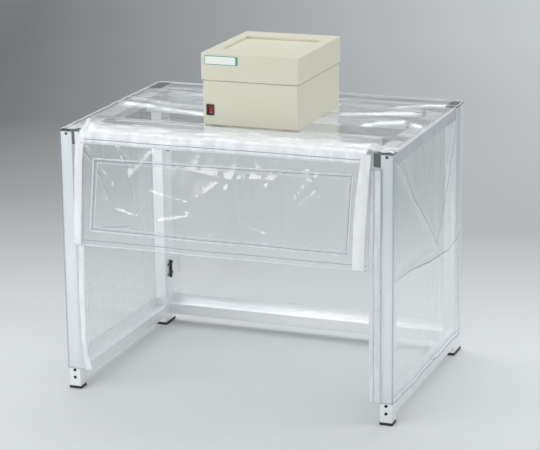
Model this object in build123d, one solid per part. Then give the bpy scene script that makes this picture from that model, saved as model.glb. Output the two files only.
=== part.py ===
from build123d import *
import os
from math import cos, radians, sin

# Folding fume hood: three aluminium frames hinged at the rear corners, cross beams that lift off,
# a fan unit that rests on two of them, and a clear film cover. Millimetres, +Z up, front faces -Y.

os.makedirs("parts", exist_ok=True)

# Frame
hood_width = 700.0
hood_depth = 500.0
hood_height = 550.0
tube_size = 25.0
tube_wall = 1.5
tube_corner = 1.2
foot_height = 6.0
foot_lip = 1.0
cap_thickness = 3.0
plug_length = 12.0
plug_gap = 0.2
bottom_rail_height = 20.0
fin_length = 18.0
fin_thickness = 3.0
post_gap = 0.4
seat_gap = 0.3
rear_rail_drop = 0.5

# Screws
screw_radius = 1.5
screw_head_radius = 3.2
screw_head_height = 1.6
screw_hole_gap = 0.2
screw_reach = 6.0
port_wall = 1.6
port_spacing = 16.0

# Hinges
leaf_thickness = 1.5
leaf_width = 20.0
leaf_height = 40.0
knuckle_radius = 3.0
knuckle_gap = 0.4
knuckle_end_gap = 0.3
pin_radius = 1.5
pin_fit = 0.05
hinge_end_distance = 127.0
leaf_screw_spacing = 24.0
leaf_screw_radius = 1.6
leaf_screw_head_radius = 2.6
leaf_screw_length = 5.0

# Corner fittings on the front posts
block_width = 14.0
block_height = 25.0
block_radius = 4.0
socket_wall = 3.0
socket_end_wall = 4.0
socket_gap = 0.5

# Cross beams. Two of them run under the fan unit, and the third stands nearer the back
beam_width = 25.0
beam_height = 16.0
beam_wall = 1.5
beam_end_clearance = 18.0
rail_end_clearance = 24.0
front_beam_overlap = 20.0
middle_beam_overlap = 78.0
rear_beam_setback = 73.0
hook_thickness = 2.0
hook_radius = 1.5
hook_overlap = 10.0
rail_tab_slide = 4.0

# Fan unit
fan_width = 210.0
fan_depth = 258.0
fan_height = 147.0
fan_offset_x = 8.5
fan_setback = 132.0
sheet = 1.2
case_inset = 2.0
case_corner = 3.0
case_flange = 12.0
lower_case_height = 91.0
divider_thickness = 2.0
divider_inset = 4.0
pad_size = 20.0
pad_height = 2.7
pad_spread = 150.0
panel_thickness = 1.5
panel_margin = 1.5
panel_gap = 1.0
panel_screw_drop = 17.5
panel_screw_shares = (-0.386, 0.371, 0.943)
panel_screw_radius = 1.2
recess_side_rim = 23.0
recess_end_rim = 55.5
recess_depth = 5.0
recess_wall = 1.5
louvre_width = 70.0
louvre_height = 4.0
louvre_pitch = 9.0
louvre_rows = 4
filter_side_gap = 7.0
filter_end_gap = 9.0
filter_height = 40.0
filter_frame = 14.0
filter_recess = 3.0
window_width = 48.0
window_length = 84.0
window_offset = 68.0

# Switch
bezel_width = 16.6
bezel_height = 22.6
bezel_proud = 1.8
bezel_depth = 12.0
bezel_wall = 2.0
bezel_left = 10.5
bezel_bottom = 20.0
rocker_gap = 0.4
rocker_tilt = 10.0
rocker_pin_radius = 1.0
rocker_pin_fit = 0.06

# Mains inlet on the back
inlet_width = 28.0
inlet_height = 20.0
inlet_flange = 2.0
inlet_body_depth = 16.0
inlet_body_margin = 3.0
inlet_socket_margin = 6.0
inlet_socket_depth = 12.0
inlet_side_offset = 70.0
inlet_rise = 40.0

# Air path inside the lower case
intake_radius = 48.0
intake_ring_width = 12.0
intake_ring_height = 10.0
guard_thickness = 1.5
guard_ring_width = 2.5
guard_rings = 3
guard_spokes = 3
impeller_side_gap = 25.0
impeller_height = 40.0
impeller_plate = 1.5
impeller_gap = 3.0
blade_count = 9
blade_thickness = 1.6
blade_sweep = 48.0
hub_radius = 14.0
shaft_radius = 4.0
shaft_fit = 0.05
motor_radius = 36.0
motor_edge = 4.0
motor_bore_depth = 24.0
motor_gap = 2.0

# Clear film cover
film_thickness = 0.5
film_gap = 0.4
film_hem_height = 12.0
film_hem_extra = 0.8
film_bottom = 45.0
hem_strip_width = 17.0
hem_strip_thickness = 3.5
hem_strip_inset = 22.0
flap_gap = 2.0
flap_side_gap = 3.0
flap_bottom = 315.0
flap_hem_width = 18.0
flap_hem_thickness = 2.0
flap_line_inset = 32.0
flap_line_width = 2.5
flap_line_gap = 6.0
flap_line_height = 0.6
flap_line_top_drop = 50.0
band_drop = 22.0
band_back = 68.0
cutout_gap = 1.0

# Places that follow from the sizes above
film_front_stand = screw_head_height + film_gap
hem_front_stand = film_front_stand + film_thickness + hem_strip_thickness
flap_stand = hem_front_stand + flap_gap
band_stand = flap_stand + film_thickness + flap_hem_thickness + film_gap
front_reach = band_stand + film_thickness
back_reach = film_gap + film_thickness + film_hem_extra
front_y = -hood_depth / 2 + (front_reach - back_reach) / 2
back_y = front_y + hood_depth
hinge_y = back_y - tube_size
half_width = hood_width / 2
inner_x = half_width - tube_size
fin_x = inner_x - fin_length
post_top = hood_height - cap_thickness
post_height = post_top - foot_height
side_back_y = hinge_y - post_gap
side_rail_start = front_y + tube_size
side_rail_end = side_back_y - tube_size
hinge_heights = (hinge_end_distance, post_top - hinge_end_distance)
bottom_rail_z = bottom_rail_height + tube_size / 2
top_rail_z = post_top - tube_size / 2
rear_top_rail_z = post_top - fin_thickness - rear_rail_drop - tube_size / 2
beam_top = post_top + seat_gap
beam_half = fin_x - beam_end_clearance - hook_thickness
hinge_x = inner_x - knuckle_radius - knuckle_gap
port_radius = screw_radius + screw_hole_gap
top_port_rise = tube_size / 2 - tube_wall - port_radius - port_wall / 2
block_x = inner_x - block_width
rail_half = block_x - rail_end_clearance - hook_thickness
film_z = hood_height + seat_gap
fan_base = beam_top + pad_height
fan_top = fan_base + fan_height
fan_front = front_y + fan_setback
fan_y = fan_front + fan_depth / 2
beam_backs = {
    "front_beam": fan_setback + front_beam_overlap,
    "middle_beam": fan_setback + fan_depth - middle_beam_overlap,
    "rear_beam": hood_depth - rear_beam_setback,
}
lower_top = fan_base + lower_case_height
upper_base = lower_top + divider_thickness
lower_width = fan_width - 2 * case_inset
lower_front = fan_front + case_inset + panel_thickness
lower_back = fan_front + fan_depth - case_inset
lower_depth = lower_back - lower_front
lower_y = (lower_front + lower_back) / 2
recess_width = fan_width - 2 * recess_side_rim
recess_length = fan_depth - 2 * recess_end_rim
filter_width = fan_width - 2 * filter_side_gap
filter_length = fan_depth - 2 * filter_end_gap
impeller_radius = fan_width / 2 - impeller_side_gap
flap_half_width = inner_x - hem_strip_inset - flap_side_gap

pieces = {}


def block(x0, x1, y0, y1, z0, z1):
    """A box between two corners."""
    return Pos((x0 + x1) / 2, (y0 + y1) / 2, (z0 + z1) / 2) * Box(abs(x1 - x0), abs(y1 - y0), abs(z1 - z0))


def along_z(x, y, z):
    """Drawing plane for something that runs up."""
    return Plane(origin=(x, y, z), x_dir=(1, 0, 0), z_dir=(0, 0, 1))


def along_y(x, y, z):
    """Drawing plane for something that runs back: first axis is X, second is Z."""
    return Plane(origin=(x, y, z), x_dir=(1, 0, 0), z_dir=(0, -1, 0))


def along_x(x, y, z):
    """Drawing plane for something that runs to the right: first axis is Y, second is Z."""
    return Plane(origin=(x, y, z), x_dir=(0, 1, 0), z_dir=(1, 0, 0))


def tube_profile(width=tube_size, height=tube_size, wall=tube_wall, corner=tube_corner):
    """Section of a square or rectangular tube."""
    return RectangleRounded(width, height, corner) - Rectangle(width - 2 * wall, height - 2 * wall)


def rod(plane, radius, length):
    """A round bar that starts on the plane and runs along its normal."""
    return extrude(plane * Circle(radius), length)


def mirror_x(shape):
    """The same piece on the other side of the hood."""
    return mirror(shape, about=Plane.YZ)


def rail_profile(outward, upright):
    """Finned rail section. The fin stands up on the outer edge, or lies inward, flush with the top."""
    section = tube_profile()
    port = Circle(port_radius + port_wall)
    if upright:
        fin_u = outward * (tube_size - fin_thickness) / 2
        fin_v = (tube_size + fin_length) / 2
        section += Pos(fin_u, fin_v - tube_wall / 2) * Rectangle(fin_thickness, fin_length + tube_wall)
        holes = [Pos(0, port_spacing / 2), Pos(0, -port_spacing / 2)]
    else:
        fin_u = -outward * ((tube_size + fin_length) / 2 - tube_wall / 2)
        fin_v = (tube_size - fin_thickness) / 2
        section += Pos(fin_u, fin_v) * Rectangle(fin_length + tube_wall, fin_thickness)
        holes = [Pos(0, top_port_rise)]
    for hole in holes:
        section += hole * port
    for hole in holes:
        section -= hole * Circle(port_radius)
    return section


def face_screw(x, z):
    """A round-headed screw in the face of a front post, long enough to reach the rail's end."""
    head = rod(along_y(x, front_y, z), screw_head_radius, screw_head_height)
    head = chamfer(head.edges().group_by(Axis.Y)[0], screw_head_height / 2)
    shank = rod(along_y(x, front_y + tube_size + screw_reach, z), screw_radius, tube_size + screw_reach)
    return head + shank


def post(x, y, front_screws=()):
    """A square tube that stands on its foot, with holes for the screws that hold the rails."""
    body = extrude(along_z(x, y, foot_height) * tube_profile(), post_height)
    for z in front_screws:
        hole = rod(along_y(x, y + tube_size, z), port_radius, 2 * tube_size)
        body -= hole
    return body


def plug(x, y, z, height):
    """The part of a cap or foot that is pushed into the tube."""
    side = tube_size - 2 * tube_wall - 2 * plug_gap
    return extrude(along_z(x, y, z) * Rectangle(side, side), height)


def foot(x, y):
    """A black foot: a plate a little wider than the tube, and its plug."""
    width = tube_size + 2 * foot_lip
    plate = extrude(along_z(x, y, 0) * Rectangle(width, tube_size), foot_height)
    plate = chamfer(plate.edges().group_by(Axis.Z)[0], foot_lip)
    return plate + plug(x, y, foot_height, plug_length)


def cap(x, y):
    """A black cap on the top of a post, and its plug."""
    plate = extrude(along_z(x, y, post_top) * Rectangle(tube_size, tube_size), cap_thickness)
    plate = chamfer(plate.edges().group_by(Axis.Z)[-1], foot_lip / 2)
    return plate + plug(x, y, post_top - plug_length, plug_length)


def corner_fitting(x, y):
    """The cap on a front post, with a block on the post's inner side that holds the rail's tab."""
    top = cap(x, y) - rod(along_y(x, y + tube_size, top_rail_z + top_port_rise), port_radius, 2 * tube_size)
    y0 = y - tube_size / 2
    y1 = y + tube_size / 2
    body = block(-inner_x, -block_x, y0, y1, hood_height - block_height - cap_thickness, hood_height)
    low_edge = body.edges().filter_by(Axis.Y).group_by(Axis.Z)[0].sort_by(Axis.X)[-1]
    body = fillet(low_edge, block_radius)
    socket = block(-inner_x + socket_end_wall, -block_x + 1, y0 + socket_wall, y1 - socket_wall,
                   post_top, hood_height + 1)
    bridge = block(-inner_x - foot_lip, -inner_x, y0, y1, post_top, hood_height)
    return top + bridge + body - socket


def hinge_leaf(height, moving):
    """One leaf of a butt hinge at the left rear corner, with its share of the knuckle."""
    z0 = height - leaf_height / 2
    z1 = height + leaf_height / 2
    step = leaf_height / 3
    way = -1 if moving else 1
    edge = knuckle_radius + knuckle_gap
    plate = block(-inner_x, -inner_x + leaf_thickness,
                  hinge_y + way * edge, hinge_y + way * (edge + leaf_width - knuckle_radius), z0, z1)
    spans = [(z0 + step, z1 - step)] if moving else [(z0, z0 + step), (z1 - step, z1)]
    if not moving:
        spans = [(low, high - knuckle_end_gap) if low == z0 else (low + knuckle_end_gap, high)
                 for low, high in spans]
    leaf = plate
    for low, high in spans:
        leaf += block(-inner_x, -inner_x + leaf_thickness, hinge_y, hinge_y + way * edge, low, high)
        leaf += rod(along_z(-hinge_x, hinge_y, low), knuckle_radius, high - low)
    bore = rod(along_z(-hinge_x, hinge_y, z0 - 1), pin_radius + pin_fit, leaf_height + 2)
    leaf -= bore
    for z in (height - leaf_screw_spacing / 2, height + leaf_screw_spacing / 2):
        leaf -= rod(along_x(-inner_x - 1, leaf_screw_y(way), z), leaf_screw_radius + 0.1, leaf_thickness + 2)
    return leaf


def leaf_screw_y(way):
    """Where a leaf's screws stand, on the way side of the hinge line."""
    return hinge_y + way * (knuckle_radius + leaf_width) / 2 + way * knuckle_gap


def hinge_screws(way):
    """The screws through the leaves on one side of the left hinge line."""
    found = []
    for height in hinge_heights:
        for z in (height - leaf_screw_spacing / 2, height + leaf_screw_spacing / 2):
            y = leaf_screw_y(way)
            head = rod(along_x(-inner_x + leaf_thickness, y, z), leaf_screw_head_radius, 1.0)
            shank = rod(along_x(-inner_x + leaf_thickness - leaf_screw_length, y, z),
                        leaf_screw_radius, leaf_screw_length)
            found.append(head + shank)
    return found


def drill_for_leaves(body, way):
    """Holes in a left post's inner wall for the leaf screws."""
    for height in hinge_heights:
        for z in (height - leaf_screw_spacing / 2, height + leaf_screw_spacing / 2):
            body -= rod(along_x(-inner_x - 2 * tube_wall, leaf_screw_y(way), z),
                        leaf_screw_radius + 0.1, 3 * tube_wall)
    return body


def build_rear_frame():
    """The frame that stands still: posts, rails, caps, feet, fixed leaves and pins."""
    x = half_width - tube_size / 2
    y = back_y - tube_size / 2
    left_post = drill_for_leaves(post(-x, y), 1)
    pieces["rear_left_post"] = left_post
    pieces["rear_right_post"] = mirror_x(left_post)
    length = 2 * inner_x
    low = extrude(along_x(-inner_x, y, bottom_rail_z) * rail_profile(1, True), length)
    high = extrude(along_x(-inner_x, y, rear_top_rail_z) * tube_profile(), length)
    pieces["rear_bottom_rail"] = low
    pieces["rear_top_rail"] = high
    pieces["rear_post_caps"] = Compound([cap(-x, y), cap(x, y)])
    pieces["rear_feet"] = Compound([foot(-x, y), foot(x, y)])
    leaves = [hinge_leaf(height, False) for height in hinge_heights]
    pieces["fixed_hinge_leaves"] = Compound(leaves + [mirror_x(leaf) for leaf in leaves])
    pins = [rod(along_z(-hinge_x, hinge_y, height - leaf_height / 2), pin_radius, leaf_height)
            for height in hinge_heights]
    pieces["hinge_pins"] = Compound(pins + [mirror_x(pin) for pin in pins])
    screws = hinge_screws(1)
    pieces["rear_hinge_screws"] = Compound(screws + [mirror_x(screw) for screw in screws])


def side_frame():
    """The left side frame, as a list of names and shapes."""
    x = -half_width + tube_size / 2
    y_front = front_y + tube_size / 2
    y_rear = side_back_y - tube_size / 2
    top_screw = top_rail_z + top_port_rise
    screws_z = (bottom_rail_z - port_spacing / 2, bottom_rail_z + port_spacing / 2, top_screw)
    length = side_rail_end - side_rail_start
    found = {
        "front_post": post(x, y_front, screws_z),
        "rear_post": drill_for_leaves(post(x, y_rear), -1),
        "top_rail": extrude(along_y(x, side_rail_end, top_rail_z) * rail_profile(-1, False), length),
        "bottom_rail": extrude(along_y(x, side_rail_end, bottom_rail_z) * rail_profile(-1, True), length),
        "corner_fitting": corner_fitting(x, y_front),
        "rear_cap": cap(x, y_rear),
        "feet": [foot(x, y_front), foot(x, y_rear)],
        "hinge_leaves": [hinge_leaf(height, True) for height in hinge_heights],
        "screws": [face_screw(x, z) for z in screws_z] + hinge_screws(-1),
    }
    return found


def side_film():
    """The left film panel: it covers the side, turns round the front post and has a thicker hem."""
    out = -half_width - film_gap
    top = hood_height
    front = front_y - film_front_stand
    panel = block(out - film_thickness, out, front - film_thickness, hinge_y - film_gap, film_bottom, top)
    turn = block(out - film_thickness, -inner_x + hem_strip_inset, front - film_thickness, front,
                 film_bottom, top)
    hem = block(out - film_thickness - film_hem_extra, out, front - film_thickness - film_hem_extra,
                hinge_y - film_gap, film_bottom, film_bottom + film_hem_height)
    inside = block(out, 0, front, hinge_y, film_bottom, film_bottom + film_hem_height)
    beyond = block(-inner_x, 0, front - 2, front, film_bottom, film_bottom + film_hem_height)
    return panel + turn + (hem - inside - beyond)


def front_hem():
    """The white strip along the front edge of the side film, a flattened roll."""
    x1 = -inner_x + hem_strip_inset
    y1 = front_y - film_front_stand - film_thickness
    section = SlotOverall(hem_strip_width, hem_strip_thickness)
    place = along_z(x1 - hem_strip_width / 2, y1 - hem_strip_thickness / 2, film_bottom)
    return extrude(place * section, hood_height - film_bottom)


def build_side_frames():
    """Left frame, and its mirror image on the right."""
    frame = side_frame()
    frame["side_film"] = side_film()
    frame["front_hem"] = front_hem()
    for name, shape in frame.items():
        group = shape if isinstance(shape, list) else [shape]
        for side, place in (("left", lambda item: item), ("right", mirror_x)):
            placed = [place(item) for item in group]
            pieces[side + "_" + name] = Compound(placed) if len(placed) > 1 else placed[0]


def end_hook(y, end, width, reach):
    """A folded plate on the left end of a beam. Its tab lies on the side rail or in the socket."""
    leg = block(-end - hook_thickness, -end, y - beam_width / 2, y + beam_width / 2,
                beam_top - beam_height, beam_top + hook_thickness)
    tab = block(-reach, -end, y - width / 2, y + width / 2, beam_top, beam_top + hook_thickness)
    hook = leg + tab
    bend = hook.edges().filter_by(Axis.Y).group_by(Axis.X)[-1].sort_by(Axis.Z)[-1]
    return fillet(bend, hook_radius)


def build_beams():
    """The front rail, the three cross beams and their end hooks."""
    places = {"front_rail": front_y + tube_size / 2}
    for name, back in beam_backs.items():
        places[name] = front_y + back - beam_width / 2
    for name, y in places.items():
        section = tube_profile(beam_width, beam_height, beam_wall)
        end = rail_half if name == "front_rail" else beam_half
        pieces[name] = extrude(along_x(-end, y, beam_top - beam_height / 2) * section, 2 * end)
        if name == "front_rail":
            width = tube_size - 2 * socket_wall - 2 * socket_gap
            reach = inner_x - socket_end_wall - rail_tab_slide
        else:
            width = beam_width
            reach = inner_x + hook_overlap
        hook = end_hook(y, end, width, reach)
        pieces[name + "_hooks"] = Compound([hook, mirror_x(hook)])


def build_top_film():
    """Top sheet with the cut-out for the fan unit, the white front band and the front flap."""
    out = half_width + film_gap + film_thickness
    flap_y = front_y - flap_stand
    top = block(-out, out, flap_y - film_thickness, back_y + film_gap + film_thickness,
                film_z, film_z + film_thickness)
    hole = block(fan_offset_x - fan_width / 2 - cutout_gap, fan_offset_x + fan_width / 2 + cutout_gap,
                 fan_front - cutout_gap, fan_front + fan_depth + cutout_gap, film_z - 1, film_z + 1)
    pieces["top_film"] = top - hole

    sheet_body = block(-flap_half_width, flap_half_width, flap_y - film_thickness, flap_y,
                       flap_bottom, film_z)
    raised_y = flap_y - film_thickness - flap_line_height
    bottom_hem = block(-flap_half_width, flap_half_width, raised_y, flap_y,
                       flap_bottom, flap_bottom + film_hem_height)
    body = sheet_body + bottom_hem
    for step in range(2):
        inset = flap_line_inset + step * flap_line_gap
        x = flap_half_width - inset
        low = flap_bottom + inset / 2
        high = hood_height - flap_line_top_drop - step * flap_line_gap
        ring = block(-x, x, raised_y, flap_y, low, high)
        ring -= block(-x + flap_line_width, x - flap_line_width, raised_y - 1, flap_y + 1,
                      low + flap_line_width, high - flap_line_width)
        body += ring
    pieces["front_flap"] = body

    hem = block(-flap_half_width, -flap_half_width + flap_hem_width,
                flap_y - film_thickness - flap_hem_thickness, flap_y - film_thickness,
                flap_bottom + film_hem_height, film_z)
    pieces["flap_side_hems"] = Compound([hem, mirror_x(hem)])

    band_y = front_y - band_stand
    lip = block(-flap_half_width, flap_half_width, band_y - film_thickness, band_y,
                hood_height - band_drop, film_z + 2 * film_thickness)
    cover = block(-flap_half_width, flap_half_width, band_y - film_thickness, front_y + band_back,
                  film_z + film_thickness, film_z + 2 * film_thickness)
    pieces["front_film_band"] = lip + cover


def back_film():
    """The film panel behind the rear frame, turned round both rear posts."""
    out = half_width + film_gap
    y = back_y + film_gap
    panel = block(-out - film_thickness, out + film_thickness, y, y + film_thickness,
                  film_bottom, hood_height)
    hem = block(-out - film_thickness, out + film_thickness, y, y + film_thickness + film_hem_extra,
                film_bottom, film_bottom + film_hem_height)
    turn = block(-out - film_thickness, -out, hinge_y + film_gap, y, film_bottom, hood_height)
    return panel + hem + turn + mirror_x(turn)


def shell(width, depth, height, corner):
    """Four walls of folded sheet, drawn round the origin and standing on it."""
    outer = extrude(RectangleRounded(width, depth, corner), height)
    return outer - extrude(Rectangle(width - 2 * sheet, depth - 2 * sheet), height)


def flange(width, depth):
    """The edge of a folded case turned inward all round."""
    rim = Rectangle(width - 2 * sheet, depth - 2 * sheet)
    return extrude(rim - Rectangle(width - 2 * case_flange, depth - 2 * case_flange), sheet)


def build_lower_case():
    """Lower case of the fan unit, its front panel, screws and pads."""
    place = Pos(fan_offset_x, lower_y, fan_base)
    body = shell(lower_width, lower_depth, lower_case_height, case_corner)
    body += extrude(RectangleRounded(lower_width, lower_depth, case_corner), sheet)
    body += Pos(0, 0, lower_case_height - sheet) * flange(lower_width, lower_depth)
    body = place * body
    body -= rod(along_z(fan_offset_x, fan_y, fan_base - 1), intake_radius, 2 * sheet + 2)
    bezel_x, bezel_z = bezel_centre()
    side = bezel_width / 2 - bezel_wall
    rise = bezel_height / 2 - bezel_wall
    opening = block(bezel_x - side, bezel_x + side, fan_front - 1, lower_front + 2 * sheet,
                    bezel_z - rise, bezel_z + rise)
    body -= opening
    inlet_x = fan_offset_x - inlet_side_offset
    inlet_z = fan_base + inlet_rise
    reach_x = inlet_width / 2 - inlet_body_margin
    reach_z = inlet_height / 2 - inlet_body_margin
    body -= block(inlet_x - reach_x, inlet_x + reach_x, lower_back - 2 * sheet, lower_back + 1,
                  inlet_z - reach_z, inlet_z + reach_z)
    pieces["fan_lower_case"] = body

    half_panel = lower_width / 2 - panel_margin
    panel = block(fan_offset_x - half_panel, fan_offset_x + half_panel, lower_front - panel_thickness,
                  lower_front, fan_base + panel_gap, lower_top - panel_gap)
    panel = fillet(panel.edges().filter_by(Axis.Z).group_by(Axis.Y)[0], panel_thickness / 2)
    panel -= opening
    screws = []
    for share in panel_screw_shares:
        x = fan_offset_x + share * fan_width / 2
        z = lower_top - panel_screw_drop
        panel -= rod(along_y(x, lower_front + 1, z), panel_screw_radius + 0.1, panel_thickness + 2)
        screws.append(rod(along_y(x, lower_front, z), panel_screw_radius, panel_thickness))
    pieces["fan_front_panel"] = panel
    pieces["fan_panel_screws"] = Compound(screws)

    pads = []
    for name in ("front_beam", "middle_beam"):
        y = front_y + beam_backs[name] - beam_width / 2
        if name == "front_beam":
            y = fan_front + case_inset + pad_size / 2
        for side in (-1, 1):
            plane = along_z(fan_offset_x + side * pad_spread / 2, y, beam_top)
            pads.append(extrude(plane * Rectangle(pad_size, pad_size), pad_height))
    pieces["fan_pads"] = Compound(pads)


def build_upper_case():
    """Divider, upper case with back louvres, recessed top panel and filter cartridge."""
    plane = along_z(fan_offset_x, fan_y, lower_top)
    plate = extrude(plane * Rectangle(fan_width - 2 * divider_inset - 2 * case_inset,
                                      fan_depth - 2 * divider_inset - 2 * case_inset), divider_thickness)
    for side in (-1, 1):
        x = fan_offset_x + side * window_offset
        plate -= block(x - window_width / 2, x + window_width / 2, fan_y - window_length / 2,
                       fan_y + window_length / 2, lower_top - 1, upper_base + 1)
    pieces["fan_divider"] = plate

    height = fan_top - upper_base
    body = shell(fan_width, fan_depth, height, case_corner)
    top = Pos(0, 0, height - sheet) * extrude(RectangleRounded(fan_width, fan_depth, case_corner), sheet)
    body = body + top + flange(fan_width, fan_depth) - Pos(0, 0, height - 2 * sheet) * extrude(
        Rectangle(recess_width, recess_length), 4 * sheet)
    rim_edges = body.edges().group_by(Axis.Z)[-1].filter_by(lambda edge: edge.length > recess_width + 1)
    body = chamfer(rim_edges, sheet / 2)
    body = Pos(fan_offset_x, fan_y, upper_base) * body
    rows = [upper_base + height / 2 + louvre_pitch * (row - (louvre_rows - 1) / 2)
            for row in range(louvre_rows)]
    for z in rows:
        for side in (-1, 1):
            x = fan_offset_x + side * (louvre_width / 2 + 6)
            body -= block(x - louvre_width / 2, x + louvre_width / 2, fan_front + fan_depth - 2 * sheet,
                          fan_front + fan_depth + 1, z - louvre_height / 2, z + louvre_height / 2)
    pieces["fan_upper_case"] = body

    dish_top = fan_top - sheet
    dish = extrude(Rectangle(recess_width + 2 * recess_wall, recess_length + 2 * recess_wall),
                   recess_depth - sheet + recess_wall)
    dish -= Pos(0, 0, recess_wall) * extrude(Rectangle(recess_width, recess_length), recess_depth)
    pieces["fan_top_panel"] = Pos(fan_offset_x, fan_y, dish_top - recess_depth + sheet - recess_wall) * dish

    filter_z = upper_base + sheet
    cartridge = extrude(RectangleRounded(filter_width, filter_length, case_corner), filter_height)
    hollow = Rectangle(filter_width - 2 * filter_frame, filter_length - 2 * filter_frame)
    cartridge -= extrude(hollow, filter_recess)
    cartridge -= Pos(0, 0, filter_height - filter_recess) * extrude(hollow, filter_recess)
    pieces["filter_cartridge"] = Pos(fan_offset_x, fan_y, filter_z) * cartridge


def bezel_centre():
    """Centre of the switch on the front panel."""
    return (fan_offset_x - fan_width / 2 + bezel_left + bezel_width / 2,
            fan_base + bezel_bottom + bezel_height / 2)


def build_switch():
    """Rocker switch: a frame that fills its hole, and a rocker on a cross pin."""
    x, z = bezel_centre()
    face = lower_front - panel_thickness
    half_w = bezel_width / 2
    half_h = bezel_height / 2
    side = half_w - bezel_wall - 0.2
    rise = half_h - bezel_wall - 0.2
    rim = block(x - half_w, x + half_w, face - bezel_proud, face, z - half_h, z + half_h)
    rim = fillet(rim.edges().filter_by(Axis.Y), 1.5)
    body = block(x - side, x + side, face, face + bezel_depth, z - rise, z + rise)
    window_x = side - 1.0
    window_z = rise - 1.0
    well = block(x - window_x, x + window_x, face - bezel_proud - 1, face + bezel_depth - 2,
                 z - window_z, z + window_z)
    pin_hole = rod(along_x(x - window_x - 0.7, rocker_pin_y(), z), rocker_pin_radius + rocker_pin_fit,
                   2 * window_x + 1.4)
    pieces["switch_frame"] = rim + body - well - pin_hole

    half_rocker = window_z - rocker_gap
    width = 2 * (window_x - rocker_gap)
    with BuildSketch(Plane.XY) as outline:
        with BuildLine():
            left = (-half_rocker, 2.0)
            right = (half_rocker, 2.0)
            ThreePointArc(left, (0, 0.8), right)
            Line(right, (half_rocker * 0.55, -3.2))
            Line((half_rocker * 0.55, -3.2), (-half_rocker * 0.55, -3.2))
            Line((-half_rocker * 0.55, -3.2), left)
        make_face()
    plane = Plane(origin=(x - width / 2, rocker_pin_y(), z), x_dir=(0, 0, 1), z_dir=(1, 0, 0))
    rocker = extrude(plane * outline.sketch, width)
    rocker += rod(along_x(x - width / 2 - 0.8, rocker_pin_y(), z), rocker_pin_radius, width + 1.6)
    axis = Axis((x, rocker_pin_y(), z), (1, 0, 0))
    pieces["power_rocker"] = rocker.rotate(axis, rocker_tilt)


def rocker_pin_y():
    """Depth of the rocker's pin."""
    return lower_front - panel_thickness + 2.0


def build_power_inlet():
    """Mains inlet on the back of the lower case: flange, body and an empty socket."""
    x = fan_offset_x - inlet_side_offset
    z = fan_base + inlet_rise
    plate = block(x - inlet_width / 2, x + inlet_width / 2, lower_back, lower_back + inlet_flange,
                  z - inlet_height / 2, z + inlet_height / 2)
    plate = fillet(plate.edges().filter_by(Axis.Y), 2.0)
    reach_x = inlet_width / 2 - inlet_body_margin - 0.2
    reach_z = inlet_height / 2 - inlet_body_margin - 0.2
    body = block(x - reach_x, x + reach_x, lower_back - inlet_body_depth, lower_back,
                 z - reach_z, z + reach_z)
    socket_x = inlet_width / 2 - inlet_socket_margin
    socket_z = inlet_height / 2 - inlet_socket_margin
    socket = block(x - socket_x, x + socket_x, lower_back + inlet_flange - inlet_socket_depth,
                   lower_back + inlet_flange + 1, z - socket_z, z + socket_z)
    inlet = plate + body - socket
    for side in (-1, 0, 1):
        pin = block(x + side * 4.5 - 1, x + side * 4.5 + 1, lower_back + inlet_flange - inlet_socket_depth,
                    lower_back - 2, z - 2, z + 2)
        inlet += pin
    pieces["power_inlet"] = inlet


def blade_outline():
    """One backward-curved blade between the hub and the rim, as a closed curved strip."""
    inner = intake_radius * 0.86
    outer = impeller_radius - 1.0
    sweep = radians(blade_sweep)
    middle = (inner + outer) / 2
    bow = sweep * 0.42

    def point(radius, angle, shift):
        return (radius * cos(angle) - shift * sin(angle), radius * sin(angle) + shift * cos(angle))

    half = blade_thickness / 2
    with BuildSketch(Plane.XY) as outline:
        with BuildLine():
            a0 = point(inner, 0, -half)
            a1 = point(middle, bow, -half)
            a2 = point(outer, sweep, -half)
            b0 = point(inner, 0, half)
            b1 = point(middle, bow, half)
            b2 = point(outer, sweep, half)
            ThreePointArc(a0, a1, a2)
            Line(a2, b2)
            ThreePointArc(b2, b1, b0)
            Line(b0, a0)
        make_face()
    return outline.sketch


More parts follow.
